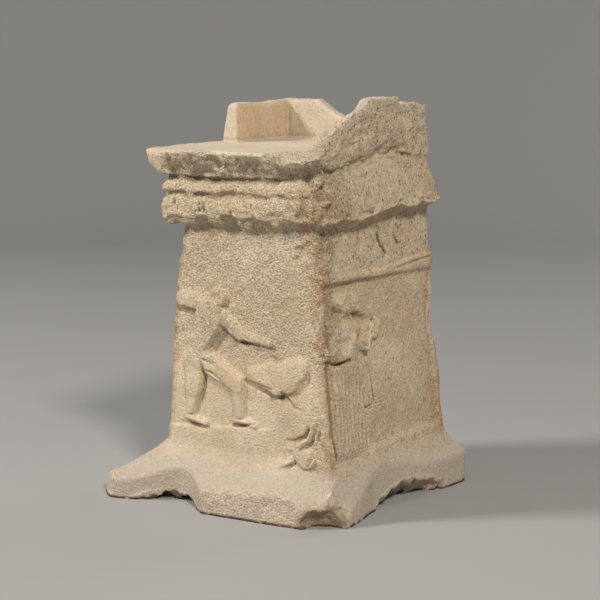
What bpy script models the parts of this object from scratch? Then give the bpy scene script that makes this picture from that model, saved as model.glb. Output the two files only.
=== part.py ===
"""A small carved limestone altar, worn and broken, cut with its plinth from one block.

The block stands on z = 0 with the axis of its shaft on the Z axis. The face with the hunter looks
along -Y, the face with the draped figure along +X. Its form is one function of a point, stone(),
which is negative inside the stone. Plain blocks are joined, and their surface is then carved back
to where that function is zero.
"""

import math

import bmesh
import bpy
import numpy as np

# Plinth, measured out from the axis of the shaft
PLINTH_FRONT = 0.113
PLINTH_LEFT = 0.112
PLINTH_RIGHT = 0.089
PLINTH_BACK = 0.090
RIM_HEIGHT = 0.0145
RIM_RISE = 0.009
FLARE_HEIGHT = 0.021
PLINTH_CORNER = 0.012
FRONT_LOSS = 0.024
RIGHT_LOSS = 0.011

# Shaft
SHAFT_HEIGHT = 0.164
FOOT_WIDTH = 0.152
FOOT_DEPTH = 0.149
NECK_WIDTH = 0.127
NECK_DEPTH = 0.1415
SHAFT_SWELL = 0.0025
ARRIS_WEAR = 0.012

# Cornice over the front and left faces
BAND_HEIGHT = 0.025
BAND_PROJECTION = 0.0085
FILLET_HEIGHT = 0.0115
SLAB_HEIGHT = 0.018
SLAB_FRONT = 0.090
SLAB_LEFT = 0.086
SLAB_RIGHT = 0.078
TONGUE_PITCH = 0.0245

# Worn cornice over the right and back faces
RIDGE_PROJECTION = 0.0105
RIDGE_HEIGHT = 0.0075
RIDGE_CLIMB = 0.008

# Tray and the walls left round it
WALL_THICKNESS = 0.016
TRAY_WIDTH = 0.102
TRAY_SHIFT = -0.005
TRAY_BACK = 0.051
TRAY_SLOPE = 0.005
LEFT_WALL_HEIGHT = 0.031
RIGHT_WALL_HEIGHT = 0.037
LEFT_WALL_LENGTH = 0.062
RIGHT_WALL_LENGTH = 0.139

# Relief on the two carved faces
HUNTER_HEIGHT = 0.100
HUNTER_RELIEF = 0.0032
DRAPED_HEIGHT = 0.110
DRAPED_RELIEF = 0.0026
GROOVE_DEPTH = 0.0016
PANEL_RECESS = 0.0018
FRAME_STRIP = 0.007

# How rough the surface is, and how finely it is modelled
WAVINESS = 0.0007
BREAK_ROUGHNESS = 0.0020
BLOCK_PITCH = 0.003
CARVE_PITCH = 0.0016
TRIANGLES = 9400
UNDERCUT = 0.003

# Levels, worked out from the heights above
FOOT_Z = RIM_HEIGHT + FLARE_HEIGHT
NECK_Z = FOOT_Z + SHAFT_HEIGHT
BAND_Z = NECK_Z + BAND_HEIGHT
FILLET_Z = BAND_Z + FILLET_HEIGHT
SLAB_Z = FILLET_Z + SLAB_HEIGHT
TRAY_LEFT_X = TRAY_SHIFT - TRAY_WIDTH / 2
TRAY_RIGHT_X = TRAY_SHIFT + TRAY_WIDTH / 2
WALL_RIGHT_X = TRAY_RIGHT_X + WALL_THICKNESS + 0.003
WALL_BACK_Y = TRAY_BACK + WALL_THICKNESS
WALL_LEFT_X = TRAY_LEFT_X - WALL_THICKNESS


# Broken tops of the back and right walls: how far below its full height each stands, along it
BACK_WALL_PLACES = (0.028, 0.042, 0.056, 0.070, 0.086)
BACK_WALL_FALL = (0.0, 0.009, 0.016, 0.021, 0.019)
RIGHT_TOP_PLACES = (0.055, 0.094, 0.097, 0.113, 0.120, 0.128)
RIGHT_TOP_FALL = (0.0015, 0.0, 0.006, 0.0035, 0.004, 0.007)


def smooth_min(a, b, radius):
    """Union of two distances with a fillet of about the given radius."""
    share = np.clip(0.5 + 0.5 * (b - a) / radius, 0.0, 1.0)
    return b + (a - b) * share - radius * share * (1.0 - share)


def smooth_max(a, b, radius):
    """Intersection of two distances with a rounded edge."""
    return -smooth_min(-a, -b, radius)


def smooth_step(low, high, value):
    """0 below low, 1 above high, and an S curve between them."""
    share = np.clip((value - low) / (high - low), 0.0, 1.0)
    return share * share * (3.0 - 2.0 * share)


def lattice_noise(points, cell, seed):
    """Smooth noise between -1 and 1 whose lumps are about one cell across."""
    size = 32
    table = np.random.default_rng(seed).uniform(-1.0, 1.0, (size, size, size))
    scaled = points / cell
    base = np.floor(scaled).astype(int)
    part = scaled - base
    part = part * part * (3.0 - 2.0 * part)
    total = np.zeros(len(points))
    for corner in np.ndindex(2, 2, 2):
        weight = np.ones(len(points))
        for axis in range(3):
            weight = weight * (part[:, axis] if corner[axis] else 1.0 - part[:, axis])
        index = (base + corner) % size
        total += weight * table[index[:, 0], index[:, 1], index[:, 2]]
    return total


def break_distance(x, y, z, point, facing):
    """Distance out from a straight break."""
    length = math.sqrt(sum(part * part for part in facing))
    gaps = (x - point[0], y - point[1], z - point[2])
    return sum(gap * part for gap, part in zip(gaps, facing)) / length


def segment_distance(u, v, start, end):
    """Distance from points (u, v) to a segment, and how far along it they lie, 0 to 1."""
    du = end[0] - start[0]
    dv = end[1] - start[1]
    along = ((u - start[0]) * du + (v - start[1]) * dv) / (du * du + dv * dv + 1e-12)
    along = np.clip(along, 0.0, 1.0)
    return np.hypot(u - start[0] - du * along, v - start[1] - dv * along), along


def limb(u, v, start, end, start_radius, end_radius, edge=4.0):
    """A raised, round-edged limb: 1 on its back, 0 outside it."""
    gap, along = segment_distance(u, v, start, end)
    radius = start_radius + (end_radius - start_radius) * along
    return smooth_step(-0.3 * edge, edge, radius - gap)


def groove(u, v, route, width=1.2):
    """A cut that follows a route: 1 at its bottom, 0 away from it, and faded at both ends."""
    deepest = np.zeros_like(u)
    for start, end in zip(route, route[1:]):
        gap, _ = segment_distance(u, v, start, end)
        deepest = np.maximum(deepest, np.exp(-((gap / width) ** 2)))
    return deepest


def blended_limbs(u, v, limbs, power=6):
    """All the limbs of a figure, run together without creases."""
    total = np.zeros_like(u)
    for start, end, start_radius, end_radius, rise in limbs:
        total += (rise * limb(u, v, start, end, start_radius, end_radius)) ** power
    return total ** (1.0 / power)


def deepest_groove(u, v, routes):
    """The deepest of a figure's cuts at each point."""
    return np.maximum.reduce([groove(u, v, route) for route in routes])


# The hunter and his game: ends, radii and rise of each limb. Places are hundredths of the
# hunter's height, from his standing foot.
HUNTER_LIMBS = (
    ((28, 94), (27, 95), 7.5, 7.0, 0.8),
    ((26, 88), (20, 84), 4.5, 6.0, 0.8),
    ((19, 80), (11, 62), 14.0, 9.5, 1.1),
    ((11, 62), (9, 51), 9.5, 10.5, 1.0),
    ((14, 88), (-6, 90), 6.5, 5.5, 0.9),
    ((-6, 90), (-17, 90), 5.5, 4.5, 0.8),
    ((31, 80), (47, 69), 6.5, 5.0, 0.9),
    ((47, 69), (73, 65), 4.8, 3.2, 0.7),
    ((6, 46), (5, 26), 10.5, 7.5, 1.0),
    ((5, 26), (2, 10), 7.5, 4.5, 0.9),
    ((-1, 5), (16, 1.5), 3.4, 2.8, 0.8),
    ((15, 48), (46, 33), 9.5, 7.0, 1.0),
    ((46, 33), (47, 12), 7.0, 4.2, 0.9),
    ((45, 7.5), (62, 5.5), 3.2, 2.4, 0.8),
    ((56, 38), (90, 42), 4.0, 16.0, 0.7),
    ((88, 36), (92, 52), 10.0, 9.0, 0.8),
    ((99, -6), (104, -8), 10.0, 9.0, 0.8),
    ((92, -16), (84, -22), 6.0, 3.0, 0.7),
    ((103, 14), (107, 4), 2.4, 2.0, 0.6),
    ((109, 12), (112, 3), 2.2, 1.8, 0.6),
)
HUNTER_GROOVES = (
    ((-16, 85), (-10, 82), (4, 80)),
    ((33, 71), (44, 64), (56, 62.5), (73, 61)),
    ((14, 48), (14, 26), (6, 11)),
    ((17, 48), (24, 44)),
    ((17, 40), (23, 39.5), (39, 31)),
    ((52, 34), (50.5, 14)),
    ((54, 35), (65, 31), (77, 27)),
    ((86, 31), (96, 23), (102, 22)),
    ((91, -1), (101, 1), (107, 5)),
    ((98, -7), (104, -6), (110, -3)),
    ((80, -26), (88, -21), (96, -15)),
    ((105, 17), (110, 8), (113, 1)),
    ((-4, 3), (5, 0), (18, -2)),
    ((43, 1.5), (65, 1)),
)
HUNTER_FOOT = (-FOOT_WIDTH / 2 + 0.024, FOOT_Z + 0.0205)
GROUND_LINE = ((-20, -4), (64, -1))


def hunter_relief(x, z):
    """Height of the carving on the front face above its ground."""
    scale = 100.0 / HUNTER_HEIGHT
    u = (x - HUNTER_FOOT[0]) * scale
    v = (z - HUNTER_FOOT[1]) * scale
    raised = blended_limbs(u, v, HUNTER_LIMBS)
    cut = deepest_groove(u, v, HUNTER_GROOVES)
    ledge_gap = v - (GROUND_LINE[0][1] + (u - GROUND_LINE[0][0]) * 3.0 / 84.0)
    on_ledge = smooth_step(2.0, -0.5, ledge_gap) * smooth_step(80.0, 62.0, u)
    return HUNTER_RELIEF * (raised + 0.35 * on_ledge * (1 - raised)) - GROOVE_DEPTH * cut


# The draped figure, given in the same way, from the middle of its hem.
DRAPED_LIMBS = (
    ((-4, 97), (-3, 99), 7.5, 7.0, 1.0),
    ((-5, 88), (-4, 92), 4.0, 4.0, 0.8),
    ((-13, 79), (8, 79), 7.0, 6.0, 0.9),
    ((-4, 76), (-4, 58), 14.0, 13.0, 0.8),
    ((-4, 58), (-1, 6), 14.5, 19.0, 0.8),
    ((-17, 76), (-20, 65), 5.5, 4.8, 1.2),
    ((-19, 64), (-2, 68), 5.0, 4.2, 1.3),
    ((-2, 68), (4, 75), 4.0, 3.2, 1.3),
    ((14, 68), (18, 76), 4.0, 3.8, 1.1),
    ((18, 76), (25, 81), 3.8, 3.0, 0.9),
    ((31, 83), (33, 82), 3.4, 3.0, 0.8),
    ((40, 72), (43, 73), 3.4, 3.0, 0.6),
    ((19, 55), (22, 30), 5.0, 5.5, 0.6),
    ((10, 95), (17, 91), 6.5, 5.5, 0.7),
    ((21, 88), (28, 85), 5.0, 4.5, 0.45),
)
DRAPED_GROOVES = (
    ((-12, 90), (-5, 87), (7, 84)),
    ((-23, 61), (-12, 60), (-1, 62)),
    ((16, 66), (18, 67)),
    ((19, 55), (24, 47), (27, 28)),
    ((17, 27), (27, 28)),
    ((17, 27), (20, 14), (20, 2)),
    ((-21, 58), (-21, 17), (-18, 0)),
)
HEM_PLACE = (-FOOT_DEPTH / 2 + 0.0295, FOOT_Z + 0.0095)
FOLD_PITCH = 3.3


def draped_relief(y, z):
    """Height of the figure on the right face above its panel."""
    scale = 100.0 / DRAPED_HEIGHT
    u = (y - HEM_PLACE[0]) * scale
    v = (z - HEM_PLACE[1]) * scale
    raised = blended_limbs(u, v, DRAPED_LIMBS) * smooth_step(-0.5, 2.0, v)
    cut = deepest_groove(u, v, DRAPED_GROOVES)
    dress = smooth_step(54.0, 44.0, v) * smooth_step(-21.0, -17.0, u) * smooth_step(20.0, 16.0, u)
    folds = dress * np.sin(2.0 * math.pi * u / FOLD_PITCH) * 0.14
    return DRAPED_RELIEF * raised * (1.0 + folds) - GROOVE_DEPTH * cut


def half_size(z, foot, neck):
    """Half the shaft's width or depth at a height."""
    share = np.clip((z - FOOT_Z) / SHAFT_HEIGHT, 0.0, 1.0)
    return foot / 2 + (neck - foot) / 2 * share


def right_face_relief(y, z):
    """Frame strips, moulding, tool cuts and figure of the right face, from the face's own plane."""
    half = half_size(z, FOOT_DEPTH, NECK_DEPTH)
    inner = half - FRAME_STRIP
    moulding_z = NECK_Z - 0.034 + 0.004 * smooth_step(-0.075, -0.030, y)
    below = smooth_step(moulding_z, moulding_z - 0.002, z)
    above_floor = smooth_step(FOOT_Z + 0.008, FOOT_Z + 0.010, z - 0.001 * y / 0.03)
    panel = smooth_step(inner, inner - 0.0025, np.abs(y)) * below * above_floor
    middle = moulding_z + 0.0045 + 0.0015 * smooth_step(0.0, 0.07, y)
    ridge = np.exp(-(((z - middle) / 0.0035) ** 4))
    split = np.exp(-(((z - middle) / 0.0008) ** 2)) * smooth_step(0.0, 0.03, y)
    figure = draped_relief(y, z) * smooth_step(inner, inner - 0.0015, -y)
    height = -PANEL_RECESS * panel + 0.0016 * ridge - 0.0014 * split + figure
    for start, end in TOOL_CUTS:
        height = height - 0.0018 * groove(y, z, (start, end), 0.0011)
    return height


TOOL_CUTS = (
    ((-0.003, NECK_Z - 0.012), (0.004, NECK_Z - 0.026)),
    ((0.014, NECK_Z - 0.006), (0.019, NECK_Z - 0.015)),
)


def plain_face_relief(across, z, half):
    """A recessed panel inside a raised border, for the two faces that carry no figures."""
    inner = half - FRAME_STRIP
    top = NECK_Z - 0.030
    panel = smooth_step(inner, inner - 0.003, np.abs(across))
    panel = panel * smooth_step(top, top - 0.003, z) * smooth_step(FOOT_Z + 0.008, FOOT_Z + 0.011, z)
    ridge = np.exp(-(((z - top - 0.0045) / 0.0035) ** 4))
    return -PANEL_RECESS * panel + 0.0012 * ridge


def shaft(x, y, z):
    """The tapering shaft with its four carved or panelled faces."""
    half_x = half_size(z, FOOT_WIDTH, NECK_WIDTH)
    half_y = half_size(z, FOOT_DEPTH, NECK_DEPTH)
    share = np.clip((z - FOOT_Z) / SHAFT_HEIGHT, 0.0, 1.0)
    swell = SHAFT_SWELL * np.sin(math.pi * share)
    on_shaft = smooth_step(FOOT_Z - 0.004, FOOT_Z, z) * smooth_step(NECK_Z + 0.002, NECK_Z - 0.002, z)
    front = -y - half_y - on_shaft * hunter_relief(x, z)
    right = x - half_x - on_shaft * right_face_relief(y, z)
    worn_back = 0.0035 * smooth_step(0.55, 0.25, share) - 0.004 * np.exp(-(((share - 0.55) / 0.10) ** 2))
    worn_back = worn_back * smooth_step(half_x - 0.030, half_x, x)
    back = y - half_y - on_shaft * (plain_face_relief(x, z, half_x) + worn_back)
    left = -x - half_x - swell - on_shaft * plain_face_relief(y, z, half_y)
    sides = smooth_max(
        smooth_max(front, back, 0.001), smooth_max(right, left, 0.001), ARRIS_WEAR
    )
    return np.maximum(sides, z - BAND_Z)


def plinth(x, y, z):
    """The low plinth, whose top climbs in a hollow curve to the foot of the shaft."""
    front_loss = FRONT_LOSS * np.exp(-(((x + 0.046) / 0.030) ** 2))
    right_loss = RIGHT_LOSS * np.exp(-(((y + 0.012) / 0.042) ** 2))
    outline = smooth_max(
        np.maximum(x - PLINTH_RIGHT + right_loss, -x - PLINTH_LEFT),
        np.maximum(y - PLINTH_BACK, -y - PLINTH_FRONT + front_loss),
        PLINTH_CORNER,
    )
    half_x = FOOT_WIDTH / 2
    half_y = FOOT_DEPTH / 2
    spread = np.maximum(
        np.maximum((x - half_x) / (PLINTH_RIGHT - half_x), (-x - half_x) / (PLINTH_LEFT - half_x)),
        np.maximum((y - half_y) / (PLINTH_BACK - half_y), (-y - half_y) / (PLINTH_FRONT - half_y)),
    )
    rim = RIM_HEIGHT + RIM_RISE * smooth_step(0.0, 0.16, x + y)
    climb = FOOT_Z + 0.002 - rim
    top = rim + climb * np.clip(1.0 - spread, 0.0, 1.0) ** 1.5
    return smooth_max(outline, z - top, 0.004)


def tongue_band(x, z):
    """How far the row of tongues stands out: shallow paired cuts between rounded tops."""
    place = (x + NECK_WIDTH / 2 - 0.0055) / TONGUE_PITCH
    offset = (place - np.round(place)) * TONGUE_PITCH
    share = (z - NECK_Z) / BAND_HEIGHT
    pair = np.exp(-(((np.abs(offset) - 0.0018) / 0.0008) ** 2))
    rounded = (offset / (TONGUE_PITCH / 2)) ** 2
    dip = smooth_step(0.90, 1.0, share + 0.10 * (1 - rounded))
    return -0.0009 * pair * smooth_step(0.35, 0.6, share) - 0.0012 * dip


def profile(z, points):
    """Reach of a moulding at a height, from a short list of (height, reach)."""
    heights, reaches = zip(*points)
    return np.interp(z, heights, reaches)


def shadow_line(y):
    """Height of the line where the worn slope of the cornice meets the wall above it."""
    return FILLET_Z + 0.0025 + 0.011 * smooth_step(-0.075, 0.030, y)


def cornice(x, y, z, ragged):
    """Tongue band and fillet in front and on the left, one worn slope right and behind."""
    steps = (
        (NECK_Z - 0.004, -0.005),
        (NECK_Z, BAND_PROJECTION * 0.15),
        (NECK_Z + 0.004, BAND_PROJECTION * 0.75),
        (NECK_Z + 0.008, BAND_PROJECTION * 1.18),
        (NECK_Z + 0.013, BAND_PROJECTION * 1.24),
        (NECK_Z + 0.020, BAND_PROJECTION * 1.12),
        (BAND_Z - 0.001, BAND_PROJECTION * 0.92),
        (BAND_Z + 0.0015, BAND_PROJECTION * 1.14),
        (BAND_Z + 0.005, BAND_PROJECTION * 1.10),
        (FILLET_Z, BAND_PROJECTION * 0.55),
    )
    carved = profile(z + 0.8 * ragged, steps)
    ridge_z = NECK_Z + RIDGE_HEIGHT + RIDGE_CLIMB * smooth_step(-0.09, 0.06, y) + ragged
    climb = np.clip((z - ridge_z) / (shadow_line(y) - ridge_z), 0.0, 1.0)
    below = 1.0 - np.clip((ridge_z - z) / 0.006, 0.0, 1.5)
    worn = RIDGE_PROJECTION * np.where(z < ridge_z, below, 1.0 - climb)
    front = -y - NECK_DEPTH / 2 - carved - tongue_band(x, z)
    left = -x - NECK_WIDTH / 2 - carved
    right = x - NECK_WIDTH / 2 - worn
    back = y - NECK_DEPTH / 2 - worn * 0.6
    near = smooth_max(front, left, 0.005)
    far = smooth_max(right, back, 0.020)
    sides = smooth_max(near, far, 0.018)
    return np.maximum(sides, np.maximum(z - FILLET_Z - 0.014, NECK_Z - 0.010 - z))


def floor_level(y):
    """Height of the tray's floor, which climbs a little towards the back."""
    return SLAB_Z + TRAY_SLOPE * (y + SLAB_FRONT) / (SLAB_FRONT + TRAY_BACK)


def slab(x, y, z, rough):
    """The projecting top slab, broken rough in front and on the left and lost on the other sides."""
    undercut = 0.007 * smooth_step(FILLET_Z + 0.010, FILLET_Z, z)
    front = -y - SLAB_FRONT + undercut + rough
    left = -x - SLAB_LEFT + 1.8 * undercut + 0.3 * rough
    end = 0.84 * (x - SLAB_RIGHT) + 0.54 * (y + SLAB_FRONT) + 0.5 * rough
    right = np.maximum(x - SLAB_RIGHT, np.minimum(x - WALL_RIGHT_X, end))
    back = y - WALL_BACK_Y
    facet = break_distance(x, y, z, (-SLAB_LEFT + 0.028, -SLAB_FRONT, SLAB_Z), (-0.30, -0.93, -0.20))
    sides = smooth_max(smooth_max(front, left, 0.004), smooth_max(right, back, 0.012), 0.003)
    sides = smooth_max(sides, facet, 0.002)
    ends = np.maximum(z - floor_level(y), FILLET_Z - z)
    return smooth_max(sides, ends, 0.002)


def walls(x, y, z, rough):
    """What is left of the walls round the tray: left, back and the taller right one."""
    lean = 0.20 * np.clip(z - SLAB_Z, 0.0, 1.0)
    left_top = floor_level(y) + LEFT_WALL_HEIGHT - 0.002
    left = smooth_max(
        np.maximum(-x + WALL_LEFT_X + lean, x - TRAY_LEFT_X),
        np.maximum(TRAY_BACK - LEFT_WALL_LENGTH - y, y - WALL_BACK_Y),
        0.003,
    )
    left = smooth_max(left, z - left_top, 0.004)
    along_back = x - TRAY_LEFT_X + 0.3 * (y - TRAY_BACK)
    fall = np.interp(along_back, BACK_WALL_PLACES, BACK_WALL_FALL)
    back = smooth_max(
        np.maximum(TRAY_BACK - y, y - WALL_BACK_Y + 0.3 * lean),
        np.maximum(WALL_LEFT_X + lean - x, x - WALL_RIGHT_X),
        0.012,
    )
    back = smooth_max(back, z - left_top + fall, 0.003)
    right_front = WALL_BACK_Y - RIGHT_WALL_LENGTH
    top_fall = np.interp(y - right_front, RIGHT_TOP_PLACES, RIGHT_TOP_FALL)
    right = smooth_max(
        np.maximum(TRAY_RIGHT_X - x, x - WALL_RIGHT_X + 0.7 * rough),
        np.maximum(right_front - y, y - WALL_BACK_Y),
        0.016,
    )
    right = smooth_max(right, z - SLAB_Z - RIGHT_WALL_HEIGHT + top_fall + 0.4 * rough, 0.002)
    low_end = break_distance(x, y, z, (TRAY_RIGHT_X, right_front, SLAB_Z), (-0.47, -0.38, 0.80))
    high_end = break_distance(
        x, y, z, (WALL_RIGHT_X, right_front + 0.049, SLAB_Z + 0.029), (-0.50, -0.59, 0.64)
    )
    broken_end = smooth_min(low_end, high_end, 0.002) + 0.7 * rough
    right = smooth_max(right, broken_end, 0.002)
    right = np.maximum(right, shadow_line(y) - z)
    thin_walls = np.maximum(smooth_min(left, back, 0.002), FILLET_Z - z)
    return smooth_min(thin_walls, right, 0.003)


def ellipsoid(x, y, z, centre, radii):
    """Distance, near enough, to an ellipsoid with its axes along X, Y and Z."""
    reach = np.sqrt(
        ((x - centre[0]) / radii[0]) ** 2
        + ((y - centre[1]) / radii[1]) ** 2
        + ((z - centre[2]) / radii[2]) ** 2
    )
    return (reach - 1.0) * min(radii)


# Where pieces have come away: centre and radii of each hollow, and how rough it is
HOLLOWS = (
    ((-0.052, -PLINTH_FRONT + 0.010, -0.007), (0.028, 0.026, 0.013), 0.7),
    ((PLINTH_RIGHT - 0.002, -PLINTH_FRONT + 0.012, 0.000), (0.024, 0.024, 0.020), 0.6),
    ((PLINTH_RIGHT + 0.004, 0.012, -0.002), (0.022, 0.040, 0.017), 0.8),
    ((0.055, -SLAB_FRONT - 0.012, SLAB_Z + 0.011), (0.029, 0.034, 0.018), 0.15),
    ((0.039, -SLAB_FRONT - 0.005, SLAB_Z + 0.001), (0.009, 0.014, 0.013), 0.5),
    ((0.052, -SLAB_FRONT - 0.006, FILLET_Z + 0.001), (0.036, 0.016, 0.010), 0.8),
    ((-0.030, -SLAB_FRONT - 0.007, FILLET_Z + 0.006), (0.046, 0.013, 0.012), 0.8),
    ((NECK_WIDTH / 2 + 0.001, -NECK_DEPTH / 2 - 0.004, NECK_Z - 0.012), (0.012, 0.008, 0.013), 0.8),
)

# Straight breaks through the plinth: a point on each, the direction it faces and how rough it is
BREAKS = (
    ((PLINTH_RIGHT - 0.015, -PLINTH_FRONT + 0.026, 0.0), (0.80, -0.60, 0.10), 0.6),
    ((0.030, -PLINTH_FRONT + 0.0145, 0.0), (0.14, -0.99, 0.0), 0.2),
    ((-PLINTH_LEFT + 0.008, -PLINTH_FRONT + 0.006, 0.0), (-0.62, -0.78, 0.15), 0.3),
)


def stone(points):
    """Signed distance, near enough, to the altar's surface, negative inside."""
    x, y, z = points.T
    wave = WAVINESS * (
        lattice_noise(points, 0.030, 1) + 0.7 * lattice_noise(points, 0.012, 2)
    )
    rough = BREAK_ROUGHNESS * (
        0.7 * lattice_noise(points, 0.014, 3) + 0.5 * lattice_noise(points, 0.006, 4)
    )
    body = smooth_min(plinth(x, y, z), shaft(x, y, z), 0.006)
    ragged = 0.0028 * lattice_noise(points * (1.0, 1.0, 0.4), 0.011, 5)
    top = smooth_min(cornice(x, y, z, ragged), slab(x, y, z, rough), 0.002)
    body = smooth_min(body, top, 0.003)
    body = smooth_min(body, walls(x, y, z, rough), 0.002)
    body = body + wave
    for centre, radii, roughness in HOLLOWS:
        body = smooth_max(body, -ellipsoid(x, y, z, centre, radii) + roughness * rough, 0.002)
    above_plinth = np.clip(z - FOOT_Z, 0.0, 1.0)
    for point, facing, roughness in BREAKS:
        gap = break_distance(x, y, z, point, facing) + roughness * rough - above_plinth
        body = smooth_max(body, gap, 0.002)
    return np.maximum(body, -z - UNDERCUT)


def add_block(mesh, low, high, narrow=(0.0, 0.0)):
    """Add a box between two corners, its top drawn in by the given amounts along X and Y."""
    size = [top - bottom for bottom, top in zip(low, high)]
    centre = [(top + bottom) / 2 for bottom, top in zip(low, high)]
    made = bmesh.ops.create_cube(mesh, size=1.0)["verts"]
    bmesh.ops.scale(mesh, vec=size, verts=made)
    bmesh.ops.translate(mesh, vec=centre, verts=made)
    for vert in made:
        if vert.co.z > centre[2]:
            vert.co.x += narrow[0] if vert.co.x < centre[0] else -narrow[0]
            vert.co.y += narrow[1] if vert.co.y < centre[1] else -narrow[1]


def rough_blocks():
    """The plain blocks that the altar is carved from."""
    mesh = bmesh.new()
    foot_x = FOOT_WIDTH / 2
    foot_y = FOOT_DEPTH / 2
    neck_x = NECK_WIDTH / 2 + BAND_PROJECTION
    neck_y = NECK_DEPTH / 2 + BAND_PROJECTION
    taper = ((FOOT_WIDTH - NECK_WIDTH) / 2, (FOOT_DEPTH - NECK_DEPTH) / 2)
    rim_z = RIM_HEIGHT + RIM_RISE
    add_block(mesh, (-PLINTH_LEFT, -PLINTH_FRONT, -UNDERCUT), (PLINTH_RIGHT, PLINTH_BACK, RIM_HEIGHT))
    add_block(mesh, (-foot_x - 0.012, -foot_y - 0.012, 0.0), (foot_x, foot_y, rim_z))
    add_block(mesh, (-foot_x, -foot_y, 0.0), (foot_x, foot_y, NECK_Z + 0.004), taper)
    add_block(mesh, (-neck_x, -neck_y, NECK_Z), (neck_x, neck_y, FILLET_Z))
    add_block(mesh, (-SLAB_LEFT, -SLAB_FRONT, FILLET_Z), (SLAB_RIGHT, 0.022 - SLAB_FRONT, SLAB_Z))
    add_block(mesh, (-SLAB_LEFT, -SLAB_FRONT, FILLET_Z), (WALL_RIGHT_X, WALL_BACK_Y, SLAB_Z + 0.003))
    left_top = SLAB_Z + TRAY_SLOPE + LEFT_WALL_HEIGHT
    right_top = SLAB_Z + RIGHT_WALL_HEIGHT
    left_front = TRAY_BACK - LEFT_WALL_LENGTH
    right_front = WALL_BACK_Y - RIGHT_WALL_LENGTH
    add_block(mesh, (WALL_LEFT_X, left_front, FILLET_Z), (TRAY_LEFT_X, WALL_BACK_Y, left_top))
    add_block(mesh, (WALL_LEFT_X, TRAY_BACK, FILLET_Z), (0.0, WALL_BACK_Y, left_top))
    add_block(mesh, (-0.010, TRAY_BACK, FILLET_Z), (WALL_RIGHT_X, WALL_BACK_Y, left_top - 0.018))
    add_block(mesh, (TRAY_RIGHT_X, right_front, FILLET_Z), (WALL_RIGHT_X, WALL_BACK_Y, right_top))
    return mesh


def remeshed(mesh_data, pitch, name):
    """The closed skin of a mesh, made anew from even faces of the given size."""
    block = bpy.data.objects.new(name, mesh_data)
    bpy.context.scene.collection.objects.link(block)
    remesh = block.modifiers.new("even faces", "REMESH")
    remesh.mode = "VOXEL"
    remesh.voxel_size = pitch
    skin = bpy.data.meshes.new_from_object(block.evaluated_get(bpy.context.evaluated_depsgraph_get()))
    bpy.data.objects.remove(block)
    bpy.data.meshes.remove(mesh_data)
    return skin


def carve(mesh_data, rounds, longest_step):
    """Move every vertex towards the surface of stone(), a little at a time."""
    points = np.empty(len(mesh_data.vertices) * 3)
    mesh_data.vertices.foreach_get("co", points)
    points = points.reshape(-1, 3)
    probe = 0.0003
    for _ in range(rounds):
        level = stone(points)
        slope = np.empty_like(points)
        for axis in range(3):
            shifted = points.copy()
            shifted[:, axis] += probe
            slope[:, axis] = (stone(shifted) - level) / probe
        steepness = np.maximum((slope**2).sum(axis=1), 0.05)
        step = -slope * (level / steepness)[:, None]
        length = np.linalg.norm(step, axis=1)
        step *= np.minimum(1.0, longest_step / np.maximum(length, 1e-9))[:, None]
        points += step
    mesh_data.vertices.foreach_set("co", points.ravel())
    mesh_data.update()


def flatten_underside(mesh_data):
    """Cut the stone off at z = 0, so that it stands on a flat face."""
    mesh = bmesh.new()
    mesh.from_mesh(mesh_data)
    everything = mesh.verts[:] + mesh.edges[:] + mesh.faces[:]
    cut = bmesh.ops.bisect_plane(
        mesh, geom=everything, dist=1e-6, plane_co=(0, 0, 0), plane_no=(0, 0, -1), clear_outer=True
    )
    rim = [item for item in cut["geom_cut"] if isinstance(item, bmesh.types.BMEdge)]
    bmesh.ops.triangle_fill(mesh, edges=rim, use_beauty=True)
    bmesh.ops.dissolve_degenerate(mesh, edges=mesh.edges[:], dist=1e-5)
    bmesh.ops.triangulate(mesh, faces=[face for face in mesh.faces if len(face.verts) > 3])
    bmesh.ops.recalc_face_normals(mesh, faces=mesh.faces[:])
    mesh.to_mesh(mesh_data)
    mesh.free()


def thinned(mesh_data, triangles, name):
    """The same surface with far fewer triangles, most of them kept where the carving is."""
    piece = bpy.data.objects.new(name, mesh_data)
    bpy.context.scene.collection.objects.link(piece)
    thin = piece.modifiers.new("fewer triangles", "DECIMATE")
    thin.ratio = triangles / (2.0 * len(mesh_data.polygons))
    thin.use_collapse_triangulate = True
    result = bpy.data.meshes.new_from_object(piece.evaluated_get(bpy.context.evaluated_depsgraph_get()))
    bpy.data.objects.remove(piece)
    bpy.data.meshes.remove(mesh_data)
    return result


def limestone():
    """Pale, warm limestone without a shine."""
    material = bpy.data.materials.new("limestone")
    material.use_nodes = True
    shader = material.node_tree.nodes["Principled BSDF"]
    shader.inputs["Base Color"].default_value = (0.60, 0.50, 0.36, 1.0)
    shader.inputs["Roughness"].default_value = 0.92
    shader.inputs["Metallic"].default_value = 0.0
    return material


def build():
    """Make the altar as one object in a collection of its own."""
    for old in list(bpy.data.objects):
        bpy.data.objects.remove(old)
    rough = rough_blocks()
    skin = bpy.data.meshes.new("blocks")
    rough.to_mesh(skin)
    rough.free()
    skin = remeshed(skin, BLOCK_PITCH, "blocks")
    carve(skin, 14, 0.003)
    skin = remeshed(skin, CARVE_PITCH, "carving")
    carve(skin, 5, 0.0015)
    skin = thinned(skin, TRIANGLES, "thinning")
    flatten_underside(skin)
    skin.name = "limestone_altar"
    skin.materials.clear()
    skin.materials.append(limestone())
    group = bpy.data.collections.new("limestone altar")
    bpy.context.scene.collection.children.link(group)
    altar = bpy.data.objects.new("limestone_altar", skin)
    group.objects.link(altar)


build()
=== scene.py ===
import math

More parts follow.
